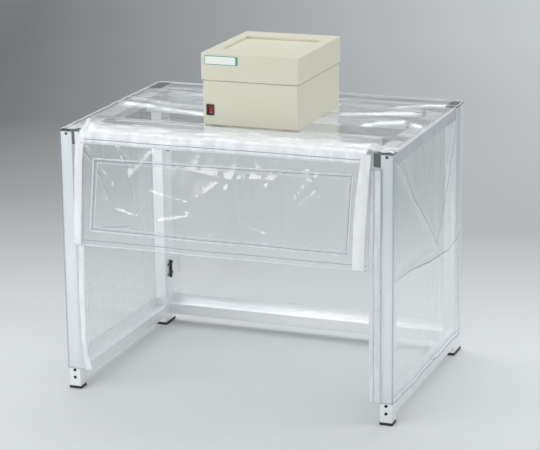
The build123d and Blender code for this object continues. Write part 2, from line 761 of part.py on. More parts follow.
def build_impeller():
    """Backward-curved impeller with its shaft, motor, inlet ring and guard."""
    ring_base = fan_base + sheet
    ring_top = ring_base + intake_ring_height
    with BuildPart() as ring:
        with BuildSketch(Plane.XZ) as section:
            with BuildLine():
                outer = intake_radius + intake_ring_width
                throat = intake_radius - 2.0
                Line((throat, intake_ring_height), (throat + sheet, intake_ring_height))
                Line((throat + sheet, intake_ring_height), (throat + sheet, 5.0))
                Line((throat + sheet, 5.0), (throat + sheet + 3.8, sheet))
                Line((throat + sheet + 3.8, sheet), (outer, sheet))
                Line((outer, sheet), (outer, 0))
                Line((outer, 0), (throat + 5.0, 0))
                Line((throat + 5.0, 0), (throat, 5.0))
                Line((throat, 5.0), (throat, intake_ring_height))
            make_face()
        revolve(axis=Axis.Z)
    pieces["inlet_ring"] = Pos(fan_offset_x, fan_y, ring_base) * ring.part

    guard = Circle(intake_radius - 2.0 + sheet) - Circle(intake_radius - 2.0 - guard_ring_width)
    gap = (intake_radius - 2.0) / guard_rings
    for index in range(1, guard_rings):
        guard += Circle(index * gap) - Circle(index * gap - guard_ring_width)
    for index in range(guard_spokes):
        guard += Rot(0, 0, index * 180 / guard_spokes) * Rectangle(2 * intake_radius - 6, guard_ring_width)
    pieces["inlet_guard"] = extrude(along_z(fan_offset_x, fan_y, ring_top) * guard, guard_thickness)

    base = ring_top + guard_thickness + impeller_gap
    place = Pos(fan_offset_x, fan_y, base)
    shroud = extrude(Circle(impeller_radius) - Circle(intake_radius), impeller_plate)
    back_z = impeller_height - impeller_plate
    back = Pos(0, 0, back_z) * extrude(Circle(impeller_radius), impeller_plate)
    hub = Pos(0, 0, back_z - 12) * extrude(Circle(hub_radius), 12)
    wheel = shroud + back + hub
    blade = Pos(0, 0, impeller_plate / 2) * extrude(blade_outline(), impeller_height - impeller_plate)
    for index in range(blade_count):
        wheel += Rot(0, 0, index * 360 / blade_count) * blade
    wheel -= Pos(0, 0, -1) * extrude(Circle(shaft_radius), impeller_height + 2)
    pieces["fan_impeller"] = place * wheel

    motor_base = base + impeller_height + motor_gap
    shaft_base = base + back_z - 12
    pieces["fan_shaft"] = rod(along_z(fan_offset_x, fan_y, shaft_base), shaft_radius,
                              motor_base + motor_bore_depth - 2 - shaft_base)
    can = rod(along_z(fan_offset_x, fan_y, motor_base), motor_radius, lower_top - motor_base)
    can = chamfer(can.edges().group_by(Axis.Z)[0], motor_edge)
    can -= rod(along_z(fan_offset_x, fan_y, motor_base - 1), shaft_radius + shaft_fit, motor_bore_depth + 1)
    pieces["fan_motor"] = can


build_rear_frame()
build_side_frames()
build_beams()
build_top_film()
pieces["back_film"] = back_film()
build_lower_case()
build_upper_case()
build_switch()
build_power_inlet()
build_impeller()

for name, shape in pieces.items():
    export_step(shape, f"parts/{name}.step")
print(len(pieces), "pieces written")
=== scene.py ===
"""Looks of the folding fume hood: camera, light, finishes and the clear film cover.

Metres, +Z up, front -Y.
"""

import math
from collections import namedtuple

import bpy
import numpy as np
from mathutils import Matrix, Vector


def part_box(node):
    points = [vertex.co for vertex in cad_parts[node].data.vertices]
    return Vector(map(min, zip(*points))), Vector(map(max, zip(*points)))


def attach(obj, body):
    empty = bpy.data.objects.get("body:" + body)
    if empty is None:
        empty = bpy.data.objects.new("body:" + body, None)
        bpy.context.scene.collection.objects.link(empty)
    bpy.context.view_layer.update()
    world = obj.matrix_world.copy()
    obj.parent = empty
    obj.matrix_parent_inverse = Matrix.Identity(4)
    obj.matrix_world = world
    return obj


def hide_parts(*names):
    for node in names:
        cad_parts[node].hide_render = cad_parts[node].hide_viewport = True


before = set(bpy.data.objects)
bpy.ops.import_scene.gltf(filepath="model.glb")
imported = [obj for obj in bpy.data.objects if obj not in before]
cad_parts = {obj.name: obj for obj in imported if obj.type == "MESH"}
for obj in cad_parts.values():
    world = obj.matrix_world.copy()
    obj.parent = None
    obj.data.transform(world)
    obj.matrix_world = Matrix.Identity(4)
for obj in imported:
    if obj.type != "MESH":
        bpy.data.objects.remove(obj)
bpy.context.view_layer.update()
scene = bpy.context.scene

# Camera: the photograph's own viewpoint
CAMERA_PLACE = (1.497, -3.950, 1.481)
CAMERA_AZIMUTH = math.radians(20.68)
CAMERA_DOWN = math.radians(15.41)
CAMERA_ROLL = math.radians(-0.68)
CAMERA_LENS = 139.8
CAMERA_SENSOR = 36.0
CAMERA_REACH = 60.0

# Studio sky: brightness at the dark and the bright horizon and overhead
WORLD_BRIGHT_SIDE = (0.75, -0.66, 0.0)
WORLD_HORIZON = (0.14, 0.80)
WORLD_TOP = 0.80
WORLD_FADE = (0.20, 0.70)
WORLD_TINT = (0.95, 0.975, 1.0, 1)

# Softboxes: name, place, target, size and watts
SOFTBOXES = (
    ("top_box", (-0.5, 1.3, 2.6), (0, 0.1, 0.4), (3.4, 1.8), 31),
    ("left_box", (-2.6, -2.2, 1.9), (0, 0, 0.35), (1.4, 1.8), 19),
    ("front_box", (-1.7, -3.5, 0.85), (0, 0, 0.35), (1.2, 1.9), 23),
    ("right_box", (2.9, 0.6, 1.7), (0, 0, 0.3), (1.0, 1.6), 14),
)

# Studio paper: painted shade as a gradient behind the object at each side, as shares of the reach and
# brightness
FLOOR_HALF = 12.0
FLOOR_REACH = 5.0
FLOOR_SIDES = (-1.0, 1.1)
FLOOR_TINT = (0.975, 1.0, 1.005)
FLOOR_LEFT_PAINTED_SHADE = ((0.02, 0.72), (0.30, 0.31), (0.50, 0.18), (1.0, 0.28))
FLOOR_RIGHT_PAINTED_SHADE = ((0.02, 0.74), (0.21, 0.44), (0.77, 0.78), (1.0, 0.81))

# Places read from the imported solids
SIDE_LOW, SIDE_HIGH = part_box("left_side_film")
FLAP_LOW, FLAP_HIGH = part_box("front_flap")
TOP_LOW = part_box("top_film")[0]
BACK_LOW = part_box("back_film")[0]
BAND_LOW, BAND_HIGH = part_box("front_film_band")
CASE_LOW, CASE_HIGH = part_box("fan_upper_case")
PIN_LOW, PIN_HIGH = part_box("hinge_pins")
PIN_RADIUS = (PIN_HIGH.y - PIN_LOW.y) / 2
PIN_X = PIN_HIGH.x - PIN_RADIUS
PIN_Y = (PIN_HIGH.y + PIN_LOW.y) / 2
KNUCKLE_WALL = 0.0022

# Film cover: its planes, edges and lengths
FILM_BULK = 0.0008
FILM_GAP = 0.0003
PANEL_GAP = 0.001
GRID = 0.003
FINE_GRID = 0.002
BAND_GRID = 0.0015
LINE_STEP = 0.006
FINE_STEP = 0.005
HEM_STEP = 0.004
CORNER_RADIUS = 0.0025
SIDE_X = -SIDE_LOW.x - FILM_BULK
SIDE_INNER_X = 0.303
FRONT_Y = SIDE_LOW.y + FILM_BULK
SIDE_REAR_Y = SIDE_HIGH.y
SIDE_DEPTH = SIDE_REAR_Y - FRONT_Y
FILM_BOTTOM = SIDE_LOW.z
FILM_TOP = SIDE_HIGH.z
FLAP_Y = FLAP_HIGH.y - FILM_GAP
FLAP_HALF = FLAP_HIGH.x
FLAP_BOTTOM = FLAP_LOW.z
TOP_Z = TOP_LOW.z + FILM_GAP
BACK_TURN = 0.0255
BACK_Y = BACK_LOW.y + BACK_TURN
CORNER_BEND = CORNER_RADIUS * math.pi / 2
SIDE_LENGTH = SIDE_DEPTH - 2 * CORNER_RADIUS + CORNER_BEND + SIDE_X - SIDE_INNER_X
BACK_LENGTH = 2 * (BACK_Y - SIDE_REAR_Y - PANEL_GAP) + 2 * SIDE_X - 4 * CORNER_RADIUS + 2 * CORNER_BEND
BAND_LENGTH = (TOP_Z - BAND_LOW.z) + (BAND_HIGH.y - BAND_LOW.y)
BAND_RADIUS = 0.006
BAND_RISE = 0.001
FRONT_GAP = 0.0004
SIDE_CORNER_S = SIDE_DEPTH - CORNER_RADIUS * 0.6
HOLE_GAP = 0.001

# Directions
TO_FRONT = (0, -1, 0)
UP = (0, 0, 1)

# Heights between which painted shade makes the side panels' film clearer and darker; below them it is
# milkier and lighter
PAINTED_SHADE_HEIGHTS = (0.27, 0.45)

# Soft relief: height, level at rest, cell sizes along the sheet, and seed
Wave = namedtuple("Wave", "height rest cell_s cell_t seed")
LATTICE = 64
NOISE_SHIFT = (23.3, 17.7)
LEFT_SEED = 11
RIGHT_SEED = 211
SIDE_BULGE = Wave(0.0032, 0.6, 0.16, 0.22, 0)
SIDE_RIPPLE = Wave(0.001, 0.0, 0.022, 0.22, 1)
SIDE_RIPPLE_EDGE = 0.3
SIDE_HEM_WAVE = Wave(0.0025, 1.4, 0.075, 1.0, 2)
SIDE_FRONT_WAVE = Wave(0.0005, 1.0, 0.02, 0.1, 4)
SIDE_HEM_DROP = Wave(0.0015, 0.0, 0.09, 1.0, 5)
BACK_BULGE = Wave(0.003, 0.7, 0.2, 0.25, 71)
BACK_RIPPLE = Wave(0.001, 0.0, 0.028, 0.3, 72)
TOP_BULGE = Wave(0.0018, 0.5, 0.14, 0.1, 91)
TOP_RIPPLE = Wave(0.0006, 0.0, 0.05, 0.02, 92)
FLAP_WAVES = (Wave(0.0022, 0.5, 0.11, 0.16, 51), Wave(0.0012, 0.0, 0.03, 0.16, 52),
              Wave(0.0005, 0.0, 0.014, 0.05, 54))
BAND_WAVES = (Wave(0.0022, 0.4, 0.07, 0.03, 31), Wave(0.0012, 0.0, 0.025, 0.014, 32))
BAND_CROWN = 0.004
BAND_EAR_X = -0.3
BAND_EAR_WIDTH = 0.016
BAND_EAR_HEIGHT = 0.003
DOUBLED_WAVE = Wave(0.0018, 0.6, 0.012, 0.02, 401)
STRIP_SWAY = Wave(0.001, 0.0, 0.09, 1, 7)
HEM_SWAY = Wave(0.001, 0.0, 0.07, 1, 41)

# Short creases: where they start, how many, their seed and height
Crumples = namedtuple("Crumples", "s_range t_range count seed height")
SIDE_CRUMPLES = Crumples((0.03, SIDE_DEPTH - 0.04), (0.08, 0.5), 26, 3, 0.0012)
BACK_CRUMPLES = Crumples((-0.29, 0.29), (0.07, 0.48), 34, 73, 0.0012)
TOP_CRUMPLES = Crumples((-0.24, 0.24), (-0.33, 0.33), 22, 93, 0.0012)
FLAP_CRUMPLES = Crumples((-0.24, 0.24), (0.33, 0.49), 34, 53, 0.001)
CRUMPLE_TURN = 0.7
CRUMPLE_LENGTH = (0.04, 0.13)
CRUMPLE_BEND = 0.006
CRUMPLE_WIDTH = (0.003, 0.008)
CRUMPLE_SIGNS = (-0.6, 1)
CREASE_FADE = 0.12
CREASE_END = 0.35

# Where relief starts and the distances over which it fades
LEAST_LIFT = 0.0002
EDGE_FADE = 0.05
TOP_EDGE_FADE = 0.03
TOP_FRONT_FADE = 0.1
BACK_MARGIN = 0.03
BACK_TOP_FADE = 0.06
SIDE_FOLD_FADE = (-0.002, 0.01)
SIDE_FRONT_BLEND = 0.004
HEM_FRONT_FADE = 0.03
HEM_WAVES_TOP = 0.16
HEM_WAVES_FADE = 0.13
HEM_DROP_TOP = 0.1
HEM_DROP_FADE = 0.055
FLAP_WAVES_TOP = 0.535
FLAP_WAVES_FADE = 0.1

# Long folds: path over the sheet, width and height
TOP_FOLD_SHARPNESS = 1.6
TOP_FOLDS = (
    (((-0.345, 0.02), (-0.26, 0.004), (-0.19, -0.02), (-0.1, -0.04)), 0.012, 0.0055),
    (((-0.345, 0.075), (-0.25, 0.05), (-0.12, 0.06)), 0.01, 0.003),
    (((0.215, -0.045), (0.25, 0.0), (0.29, 0.02), (0.345, -0.02)), 0.011, 0.006),
    (((0.12, 0.05), (0.2, 0.075), (0.3, 0.11)), 0.009, 0.0035),
    (((0.23, 0.14), (0.3, 0.19), (0.345, 0.205)), 0.009, 0.003),
    (((-0.34, 0.18), (-0.2, 0.15), (-0.11, 0.17)), 0.01, 0.0025),
)
RIGHT_FOLDS = (
    (((-0.238, 0.54), (-0.119, 0.426), (0.04, 0.295)), 0.0055, 0.0045),
    (((-0.215, 0.545), (-0.1, 0.436), (0.036, 0.318)), 0.004, 0.0022),
    (((0.04, 0.295), (0.11, 0.4), (0.19, 0.545)), 0.007, 0.004),
    (((0.045, 0.33), (0.095, 0.42), (0.15, 0.545)), 0.0045, 0.0018),
    (((-0.235, 0.292), (-0.12, 0.288), (-0.01, 0.272), (0.11, 0.262), (0.228, 0.272)), 0.0055, 0.004),
    (((-0.2, 0.3), (-0.06, 0.295), (0.08, 0.28)), 0.0045, 0.0015),
    (((-0.105, 0.53), (-0.07, 0.44), (-0.04, 0.38)), 0.0045, 0.0018),
    (((-0.06, 0.545), (-0.025, 0.43), (0.0, 0.35)), 0.004, 0.0016),
    (((0.02, 0.54), (0.03, 0.44), (0.042, 0.36)), 0.0045, 0.0018),
    (((0.088, 0.548), (0.11, 0.47), (0.134, 0.405)), 0.004, 0.0016),
)
LEFT_FOLDS = (
    (((-0.2, 0.54), (-0.08, 0.44), (0.01, 0.33)), 0.006, 0.0035),
    (((-0.21, 0.24), (-0.08, 0.3), (0.08, 0.26), (0.21, 0.29)), 0.0055, 0.003),
    (((0.06, 0.545), (0.09, 0.42), (0.12, 0.3)), 0.005, 0.0022),
    (((-0.15, 0.08), (-0.11, 0.17), (-0.06, 0.25)), 0.006, 0.0025),
    (((0.02, 0.08), (0.06, 0.17), (0.03, 0.24)), 0.005, 0.002),
)
FLAP_FOLDS = (
    (((-0.205, 0.505), (-0.232, 0.44), (-0.255, 0.38)), 0.004, 0.002),
    (((-0.23, 0.395), (-0.15, 0.375), (-0.06, 0.395)), 0.005, 0.0014),
    (((0.02, 0.47), (0.0, 0.43), (0.02, 0.38)), 0.004, 0.0018),
    (((0.1, 0.48), (0.085, 0.43), (0.1, 0.395)), 0.0035, 0.0016),
    (((0.185, 0.5), (0.205, 0.43), (0.19, 0.37)), 0.0045, 0.0016),
    (((-0.07, 0.49), (0.02, 0.478), (0.13, 0.486)), 0.005, 0.0014),
)

# Welds and rolls on the film, and the painted shadow and painted highlight lines beside folds: distance
# from the edge or fold, width and thickness
Line = namedtuple("Line", "inset width thickness")
ROLL_SQUARENESS = 2.6
SIDE_HEM_ROLL = Line(0.0012, 0.002, 0.0012)
SIDE_CORNER_ROLL = Line(0.0, 0.0014, 0.001)
SIDE_HEM_WELD = Line(0.0125, 0.0016, 0.0008)
SIDE_REAR_WELD = Line(0.001, 0.0024, 0.001)
SIDE_CORNER_WELD = Line(0.004, 0.0012, 0.0006)
BACK_HEMS = (Line(0.0012, 0.0022, 0.0009), Line(0.0125, 0.0016, 0.0009))
TOP_SIDE_SEAM = Line(0.0012, 0.0026, 0.0018)
TOP_BACK_SEAM = Line(0.0015, 0.0026, 0.0018)
TOP_SEAM_START = 0.012
TOP_WELD = Line(0.0095, 0.0012, 0.0007)
FLAP_RING_CORNERS = ((-0.274, 0.498), (0.273, 0.506), (0.262, 0.344), (-0.286, 0.347))
FLAP_RING_MIDDLE = 0.43
FLAP_RINGS = (Line(0.0, 0.0032, 0.0016), Line(0.0085, 0.0016, 0.001))
FLAP_RING_LINE = Line(0.0034, 0.0014, 0.0008)
FLAP_HEM_ROLL = Line(0.0018, 0.0036, 0.0018)
FLAP_HEM_LINE = Line(0.0115, 0.0016, 0.0008)
BAND_LIP = Line(0.0012, 0.0034, 0.0016)
BAND_LINE = Line(0.0085, 0.0016, 0.0007)
# Painted shadow line and painted highlight lines that run beside the folds
FOLD_SHADOW = Line(0.0018, 0.0022, 0.0004)
FOLD_PAINTED_HIGHLIGHT = Line(-0.0022, 0.0026, 0.0005)
TOP_FOLD_PAINTED_HIGHLIGHT = Line(0.0, 0.0042, 0.0006)
FOLD_LINE_TAPER = 0.15
LEAST_LINED_FOLD = 0.003

# Front strips and flap hems: pairs of height and value
LEFT_STRIP_MIDDLE = ((0.045, -0.302), (0.075, -0.308), (0.11, -0.3105), (0.2, -0.3125),
                     (0.32, -0.309), (0.55, -0.31))
LEFT_STRIP_WIDTH = ((0.045, 0.017), (0.075, 0.012), (0.11, 0.0105), (0.2, 0.013), (0.55, 0.013))
LEFT_STRIP_THICKNESS = 0.0034
RIGHT_STRIPS = (("outer", 0.3205, 0.0125, ["right_front_hem"]), ("inner", 0.308, 0.0092, ()))
RIGHT_STRIP_TOP = 0.518
RIGHT_STRIP_THICKNESS = 0.0026
STRIP_GAP = 0.0012
LEFT_HEM_MIDDLE = ((0.315, -0.315), (0.405, -0.3105), (0.49, -0.3065), (0.525, -0.302), (0.55, -0.295),
                   (0.577, -0.286))
LEFT_HEM_PEAK = 0.577
LEFT_HEM_WIDTH = 0.0175
LEFT_HEM_TAPER = 0.01
LEFT_HEM_TAPER_START = 0.54
LEFT_HEM_LEAN = 0.016
LEFT_HEM_LEAN_START = 0.545
LEFT_HEM_GAP = 0.0026
RIGHT_HEM_MIDDLE = ((0.315, 0.283), (0.455, 0.2895), (0.556, 0.301))
RIGHT_HEM_WIDTH = ((0.315, 0.025), (0.455, 0.0255), (0.556, 0.019))
RIGHT_HEM_GAP = 0.003
RIGHT_HEM_TOP_GAP = 0.002
HEM_THICKNESS = 0.0022

# Doubled film over the front corners
DOUBLED_INNER_X = 0.298
DOUBLED_START = 0.0065
DOUBLED_LENGTH = 0.0435
DOUBLED_GAP = 0.0006
DOUBLED_LIFT = 0.0016
DOUBLED_RISE = 0.006
DOUBLED_RISE_X = 0.318
DOUBLED_RISE_FADE = 0.02
DOUBLED_EDGE_FADE = 0.006

# Bare plate on the fan unit
LABEL_X = (CASE_LOW.x + 0.0085, CASE_LOW.x + 0.08)
LABEL_Z = (0.6745, 0.6925)
LABEL_RADIUS = 0.003
LABEL_LAYERS = (("rim", 0.0, 0.0, 0.0005, "label_green"), ("face", 0.0012, 0.0034, 0.0007, "label_white"))

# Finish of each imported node
FINISHES = {
    "tube_z": ("rear_left_post", "rear_right_post", "left_front_post", "left_rear_post", "right_front_post",
               "right_rear_post"),
    "tube_x": ("rear_bottom_rail", "rear_top_rail", "front_rail", "front_beam", "middle_beam", "rear_beam"),
    "tube_y": ("left_top_rail", "left_bottom_rail", "right_top_rail", "right_bottom_rail"),
    "black": ("rear_post_caps", "rear_feet", "left_corner_fitting", "right_corner_fitting", "left_rear_cap",
              "right_rear_cap", "left_feet", "right_feet", "power_inlet"),
    "black_steel": ("rear_hinge_screws", "left_screws", "right_screws"),
    "hinge": ("fixed_hinge_leaves", "left_hinge_leaves", "right_hinge_leaves"),
    "pin": ("hinge_pins", "fan_shaft", "fan_panel_screws"),
    "plate": ("front_rail_hooks", "front_beam_hooks", "middle_beam_hooks", "rear_beam_hooks"),
    "cream": ("fan_lower_case", "fan_front_panel", "fan_upper_case", "fan_top_panel"),
    "zinc": ("fan_divider",),
    "rubber": ("fan_pads",),
    "switch": ("switch_frame", "inlet_guard"),
    "red": ("power_rocker",),
    "impeller": ("fan_impeller", "inlet_ring"),
    "motor": ("fan_motor",),
    "filter": ("filter_cartridge",),
}


def clear_scene():
    """Removes what a new Blender file holds, apart from the frame."""
    for name in ("Cube", "Light", "Camera"):
        found = bpy.data.objects.get(name)
        if found is not None:
            bpy.data.objects.remove(found)


def add_camera():
    """The photograph's camera."""
    az, down, roll = CAMERA_AZIMUTH, CAMERA_DOWN, CAMERA_ROLL
    forward = Vector((-math.sin(az) * math.cos(down), math.cos(az) * math.cos(down), -math.sin(down)))
    level_right = Vector((math.cos(az), math.sin(az), 0))
    level_up = level_right.cross(forward)
    right = level_right * math.cos(roll) + level_up * math.sin(roll)
    up = -level_right * math.sin(roll) + level_up * math.cos(roll)
    data = bpy.data.cameras.new("camera")
    data.lens = CAMERA_LENS
    data.sensor_width = CAMERA_SENSOR
    data.clip_end = CAMERA_REACH
    camera = bpy.data.objects.new("camera", data)
    camera.matrix_world = Matrix((
        (right.x, up.x, -forward.x, CAMERA_PLACE[0]),
        (right.y, up.y, -forward.y, CAMERA_PLACE[1]),
        (right.z, up.z, -forward.z, CAMERA_PLACE[2]),
        (0, 0, 0, 1),
    ))
    scene.collection.objects.link(camera)
    scene.camera = camera


def add_softbox(name, place, target, size, watts):
    """A rectangular area lamp that faces its target."""
    data = bpy.data.lights.new(name, "AREA")
    data.shape = "RECTANGLE"
    data.size, data.size_y = size
    data.energy = watts
    lamp = bpy.data.objects.new(name, data)
    lamp.location = place
    lamp.rotation_euler = (Vector(target) - Vector(place)).to_track_quat("-Z", "Y").to_euler()
    scene.collection.objects.link(lamp)


def fill_inputs(tree, node, inputs):
    """Links each input that is given a socket, and sets each other one."""
    for name, value in inputs.items():
        if isinstance(value, bpy.types.NodeSocket):
            tree.links.new(value, node.inputs[name])
        else:
            node.inputs[name].default_value = value


def add_node(tree, kind, inputs, output=None, **settings):
    """Adds a shader node and gives the output asked for, or else its first one."""
    node = tree.nodes.new("ShaderNode" + kind)
    for name, value in settings.items():
        setattr(node, name, value)
    fill_inputs(tree, node, inputs)
    if output is None:
        return next(socket for socket in node.outputs if socket.enabled)
    return node.outputs[output]


def coordinates(tree, kind="Object"):
    """A point's coordinates."""
    return add_node(tree, "TexCoord", {}, kind)


def axis(tree, vector, name):
    """One of the parts X, Y and Z of a vector."""
    return add_node(tree, "SeparateXYZ", {"Vector": vector}, name)


def map_range(tree, value, source=(0.0, 1.0), target=(0.0, 1.0), **settings):
    """A value mapped from one range onto another, held at both ends."""
    inputs = {"Value": value, "From Min": source[0], "From Max": source[1], "To Min": target[0],
              "To Max": target[1]}
    return add_node(tree, "MapRange", inputs, **settings)


def blend(tree, share, first, second, data_type="RGBA"):
    """A colour or number between two, by a share from 0 to 1."""
    return add_node(tree, "Mix", {"Factor": share, "A": first, "B": second}, "Result", data_type=data_type)


def mix_shaders(tree, share, first, second):
    """A shader between two, by a share from 0 to 1."""
    return add_node(tree, "MixShader", {"Fac": share, 1: first, 2: second})


def set_surface(tree, shader):
    """Makes a shader the material's surface."""
    tree.links.new(shader, tree.nodes["Material Output"].inputs["Surface"])


def add_light():
    """A pale studio: a sky that is greyer low down at the back left, and four softboxes."""
    world = bpy.data.worlds.new("studio")
    scene.world = world
    world.use_nodes = True
    tree = world.node_tree
    direction = coordinates(tree, "Generated")
    toward = add_node(tree, "VectorMath", {0: direction, 1: WORLD_BRIGHT_SIDE}, "Value",
                      operation="DOT_PRODUCT")
    horizon = map_range(tree, toward, (-1.0, 1.0), WORLD_HORIZON)
    height = map_range(tree, axis(tree, direction, "Z"), WORLD_FADE, interpolation_type="SMOOTHSTEP")
    level = blend(tree, height, horizon, WORLD_TOP, "FLOAT")
    fill_inputs(tree, tree.nodes["Background"], {"Color": WORLD_TINT, "Strength": level})
    for name, place, target, size, watts in SOFTBOXES:
        add_softbox(name, place, target, size, watts)


def new_material(name, colour, roughness, metallic=0.0):
    """A material with one Principled shader, and the shader."""
    material = bpy.data.materials.new(name)
    material.use_nodes = True
    shader = material.node_tree.nodes["Principled BSDF"]
    inputs = {"Base Color": shade(colour), "Roughness": roughness, "Metallic": metallic}
    fill_inputs(material.node_tree, shader, inputs)
    return material, shader


def noise(tree, scale, stretch=(1, 1, 1), detail=3.0):
    """Noise in the object's own metres, from 0 to 1. A small stretch makes it long that way."""
    mapped = add_node(tree, "Mapping", {"Vector": coordinates(tree), "Scale": [scale * s for s in stretch]})
    return add_node(tree, "TexNoise", {"Vector": mapped, "Scale": 1.0, "Detail": detail}, "Fac")


def spread(tree, value, low, high):
    """Noise mapped from its usual 0.3 to 0.7 onto low to high."""
    return map_range(tree, value, (0.3, 0.7), (low, high))


def bump(tree, height, strength, distance):
    """Fine relief from a height value, distance in metres."""
    return add_node(tree, "Bump", {"Strength": strength, "Distance": distance, "Height": height})


def shade(colour, factor=1):
    """A colour made lighter or darker, with its alpha."""
    return (*(channel * factor for channel in colour), 1)


def coated(name, colour, roughness, grain, depth, metallic=0.0, stretch=(1, 1, 1), tone=0.05,
           rough_tone=0.06):
    """A finish with slight variation of colour and roughness and a fine relief."""
    material, shader = new_material(name, colour, roughness, metallic)
    tree = material.node_tree
    cloud = spread(tree, noise(tree, 18, stretch), 0, 1)
    fine = noise(tree, grain, stretch)
    fill_inputs(tree, shader, {
        "Base Color": blend(tree, cloud, shade(colour, 1 - tone), shade(colour, 1 + tone)),
        "Roughness": spread(tree, fine, roughness - rough_tone, roughness + rough_tone),
        "Normal": bump(tree, fine, 0.5, depth),
    })
    return material


def film_material(name, tint, veil, roughness, high_tint=None, high_veil=None):
    """Clear vinyl: see-through, a little milky, and more of a mirror the flatter it is seen.

    Where high_tint and high_veil are given, the film changes towards them with its height: painted shade
    that makes it darker and clearer higher up.
    """
    material = bpy.data.materials.new(name)
    material.use_nodes = True
    tree = material.node_tree
    tree.nodes.remove(tree.nodes["Principled BSDF"])
    colour, cover = shade(tint), veil
    if high_tint is not None:
        height = map_range(tree, axis(tree, coordinates(tree), "Z"), PAINTED_SHADE_HEIGHTS)
        colour = blend(tree, height, colour, shade(high_tint))
        cover = blend(tree, height, veil, high_veil, "FLOAT")
    clear = add_node(tree, "BsdfTransparent", {"Color": colour})
    milk = add_node(tree, "BsdfDiffuse", {"Color": (0.90, 0.93, 0.96, 1)})
    waves = bump(tree, noise(tree, 45, (1, 1, 0.6), 2.0), 0.6, 0.0013)
    inputs = {"Color": shade((1, 1, 1)), "Roughness": roughness, "Normal": waves}
    gloss = add_node(tree, "BsdfAnisotropic", inputs)
    facing = add_node(tree, "LayerWeight", {"Blend": 0.5, "Normal": waves}, "Facing")
    power = add_node(tree, "Math", {0: facing, 1: 4.0}, operation="POWER")
    share = map_range(tree, power, target=(0.10, 0.95))
    set_surface(tree, mix_shaders(tree, share, mix_shaders(tree, cover, clear, milk), gloss))
    return material


def white_vinyl(name, colour, cover, roughness):
    """Welded double film, which looks white: a Principled shader that lets a little through."""
    material, shader = new_material(name, colour, roughness)
    tree = material.node_tree
    cloud = noise(tree, 60, (1, 1, 0.25))
    fill_inputs(tree, shader, {
        "Base Color": blend(tree, spread(tree, cloud, 0, 1), shade(colour, 0.94), shade(colour)),
        "Normal": bump(tree, noise(tree, 220, (1, 1, 0.2)), 0.4, 0.0004),
    })
    share = spread(tree, cloud, cover - 0.08, min(cover + 0.08, 1.0))
    clear = add_node(tree, "BsdfTransparent", {})
    set_surface(tree, mix_shaders(tree, share, clear, shader.outputs["BSDF"]))
    return material


def hinge_finish(name):
    """Aluminium hinge leaves with black knuckles, told apart by the distance from the pins' axes."""
    material = coated(name, (0.88, 0.89, 0.90), 0.42, 420, 0.00004, 1.0)
    tree = material.node_tree
    metal = tree.nodes["Principled BSDF"].outputs["BSDF"]
    black = add_node(tree, "BsdfPrincipled", {"Base Color": (0.030, 0.031, 0.034, 1), "Roughness": 0.38})
    point = coordinates(tree)
    sideways = add_node(tree, "Math", {0: axis(tree, point, "X")}, operation="ABSOLUTE")
    flat = add_node(tree, "CombineXYZ", {"X": sideways, "Y": axis(tree, point, "Y")})
    gap = add_node(tree, "VectorMath", {0: flat, 1: (PIN_X, PIN_Y, 0)}, "Value", operation="DISTANCE")
    beyond = add_node(tree, "Math", {0: gap, 1: PIN_RADIUS + KNUCKLE_WALL}, operation="GREATER_THAN")
    set_surface(tree, mix_shaders(tree, beyond, black, metal))
    return material


def pleated(name):
    """Filter paper folded in close pleats, with painted shade that darkens the paper along the pleats'
    folds.
    """
    material, shader = new_material(name, (0.86, 0.86, 0.82), 0.9)
    tree = material.node_tree
    inputs = {"Vector": coordinates(tree), "Scale": 60.0, "Distortion": 0.4}
    pleats = add_node(tree, "TexWave", inputs, "Fac")
    fill_inputs(tree, shader, {
        # Painted shade: the paper is darker at one side of each pleat
        "Base Color": blend(tree, pleats, (0.55, 0.55, 0.50, 1), (0.88, 0.88, 0.84, 1)),
        "Normal": bump(tree, pleats, 0.8, 0.003),
    })
    return material


def painted_shade_ramp(tree, value, stops):
    """A slightly cool grey whose brightness follows a value: painted shade on the floor."""
    colour = add_node(tree, "ValToRGB", {"Fac": value}, "Color")
    elements = colour.node.color_ramp.elements
    while len(elements) < len(stops):
        elements.new(0.5)
    for element, (position, level) in zip(elements, stops):
        element.position = position
        element.color = shade(FLOOR_TINT, level)
    return colour


def floor_material():
    """Pale paper with painted shade that makes it greyer towards the back left."""
    material, shader = new_material("studio_paper", (0.66, 0.68, 0.69), 0.95)
    tree = material.node_tree
    turned = add_node(tree, "Mapping", {"Vector": coordinates(tree), "Rotation": (0, 0, CAMERA_AZIMUTH)},
                      vector_type="TEXTURE")
    away = map_range(tree, axis(tree, turned, "Y"), (0.0, FLOOR_REACH))
    across = map_range(tree, axis(tree, turned, "X"), FLOOR_SIDES)
    # Painted shade: the floor colour darkens with distance and towards the left
    sides = [painted_shade_ramp(tree, away, stops) for stops in (FLOOR_LEFT_PAINTED_SHADE, FLOOR_RIGHT_PAINTED_SHADE)]
    fill_inputs(tree, shader, {"Base Color": blend(tree, across, *sides), "Specular IOR Level": 0.0})
    return material


def ease(x):
    """A smooth step from 0 to 1 with level ends and no kink in its slope."""
    return x * x * x * (x * (x * 6 - 15) + 10)


def smooth_noise(s, t, cell_s, cell_t, seed):
    """Seeded smooth noise over a sheet, about -1 to 1. Cells are in metres."""
    lattice = np.random.default_rng(seed).uniform(-1, 1, (LATTICE, LATTICE))
    u = s / cell_s + NOISE_SHIFT[0]
    v = t / cell_t + NOISE_SHIFT[1]
    i = np.floor(u).astype(int)
    j = np.floor(v).astype(int)
    fu = ease(u - i)
    fv = ease(v - j)

    def at(di, dj):
        return lattice[(i + di) % LATTICE, (j + dj) % LATTICE]

    low = at(0, 0) * (1 - fu) + at(1, 0) * fu
    high = at(0, 1) * (1 - fu) + at(1, 1) * fu
    return low * (1 - fv) + high * fv


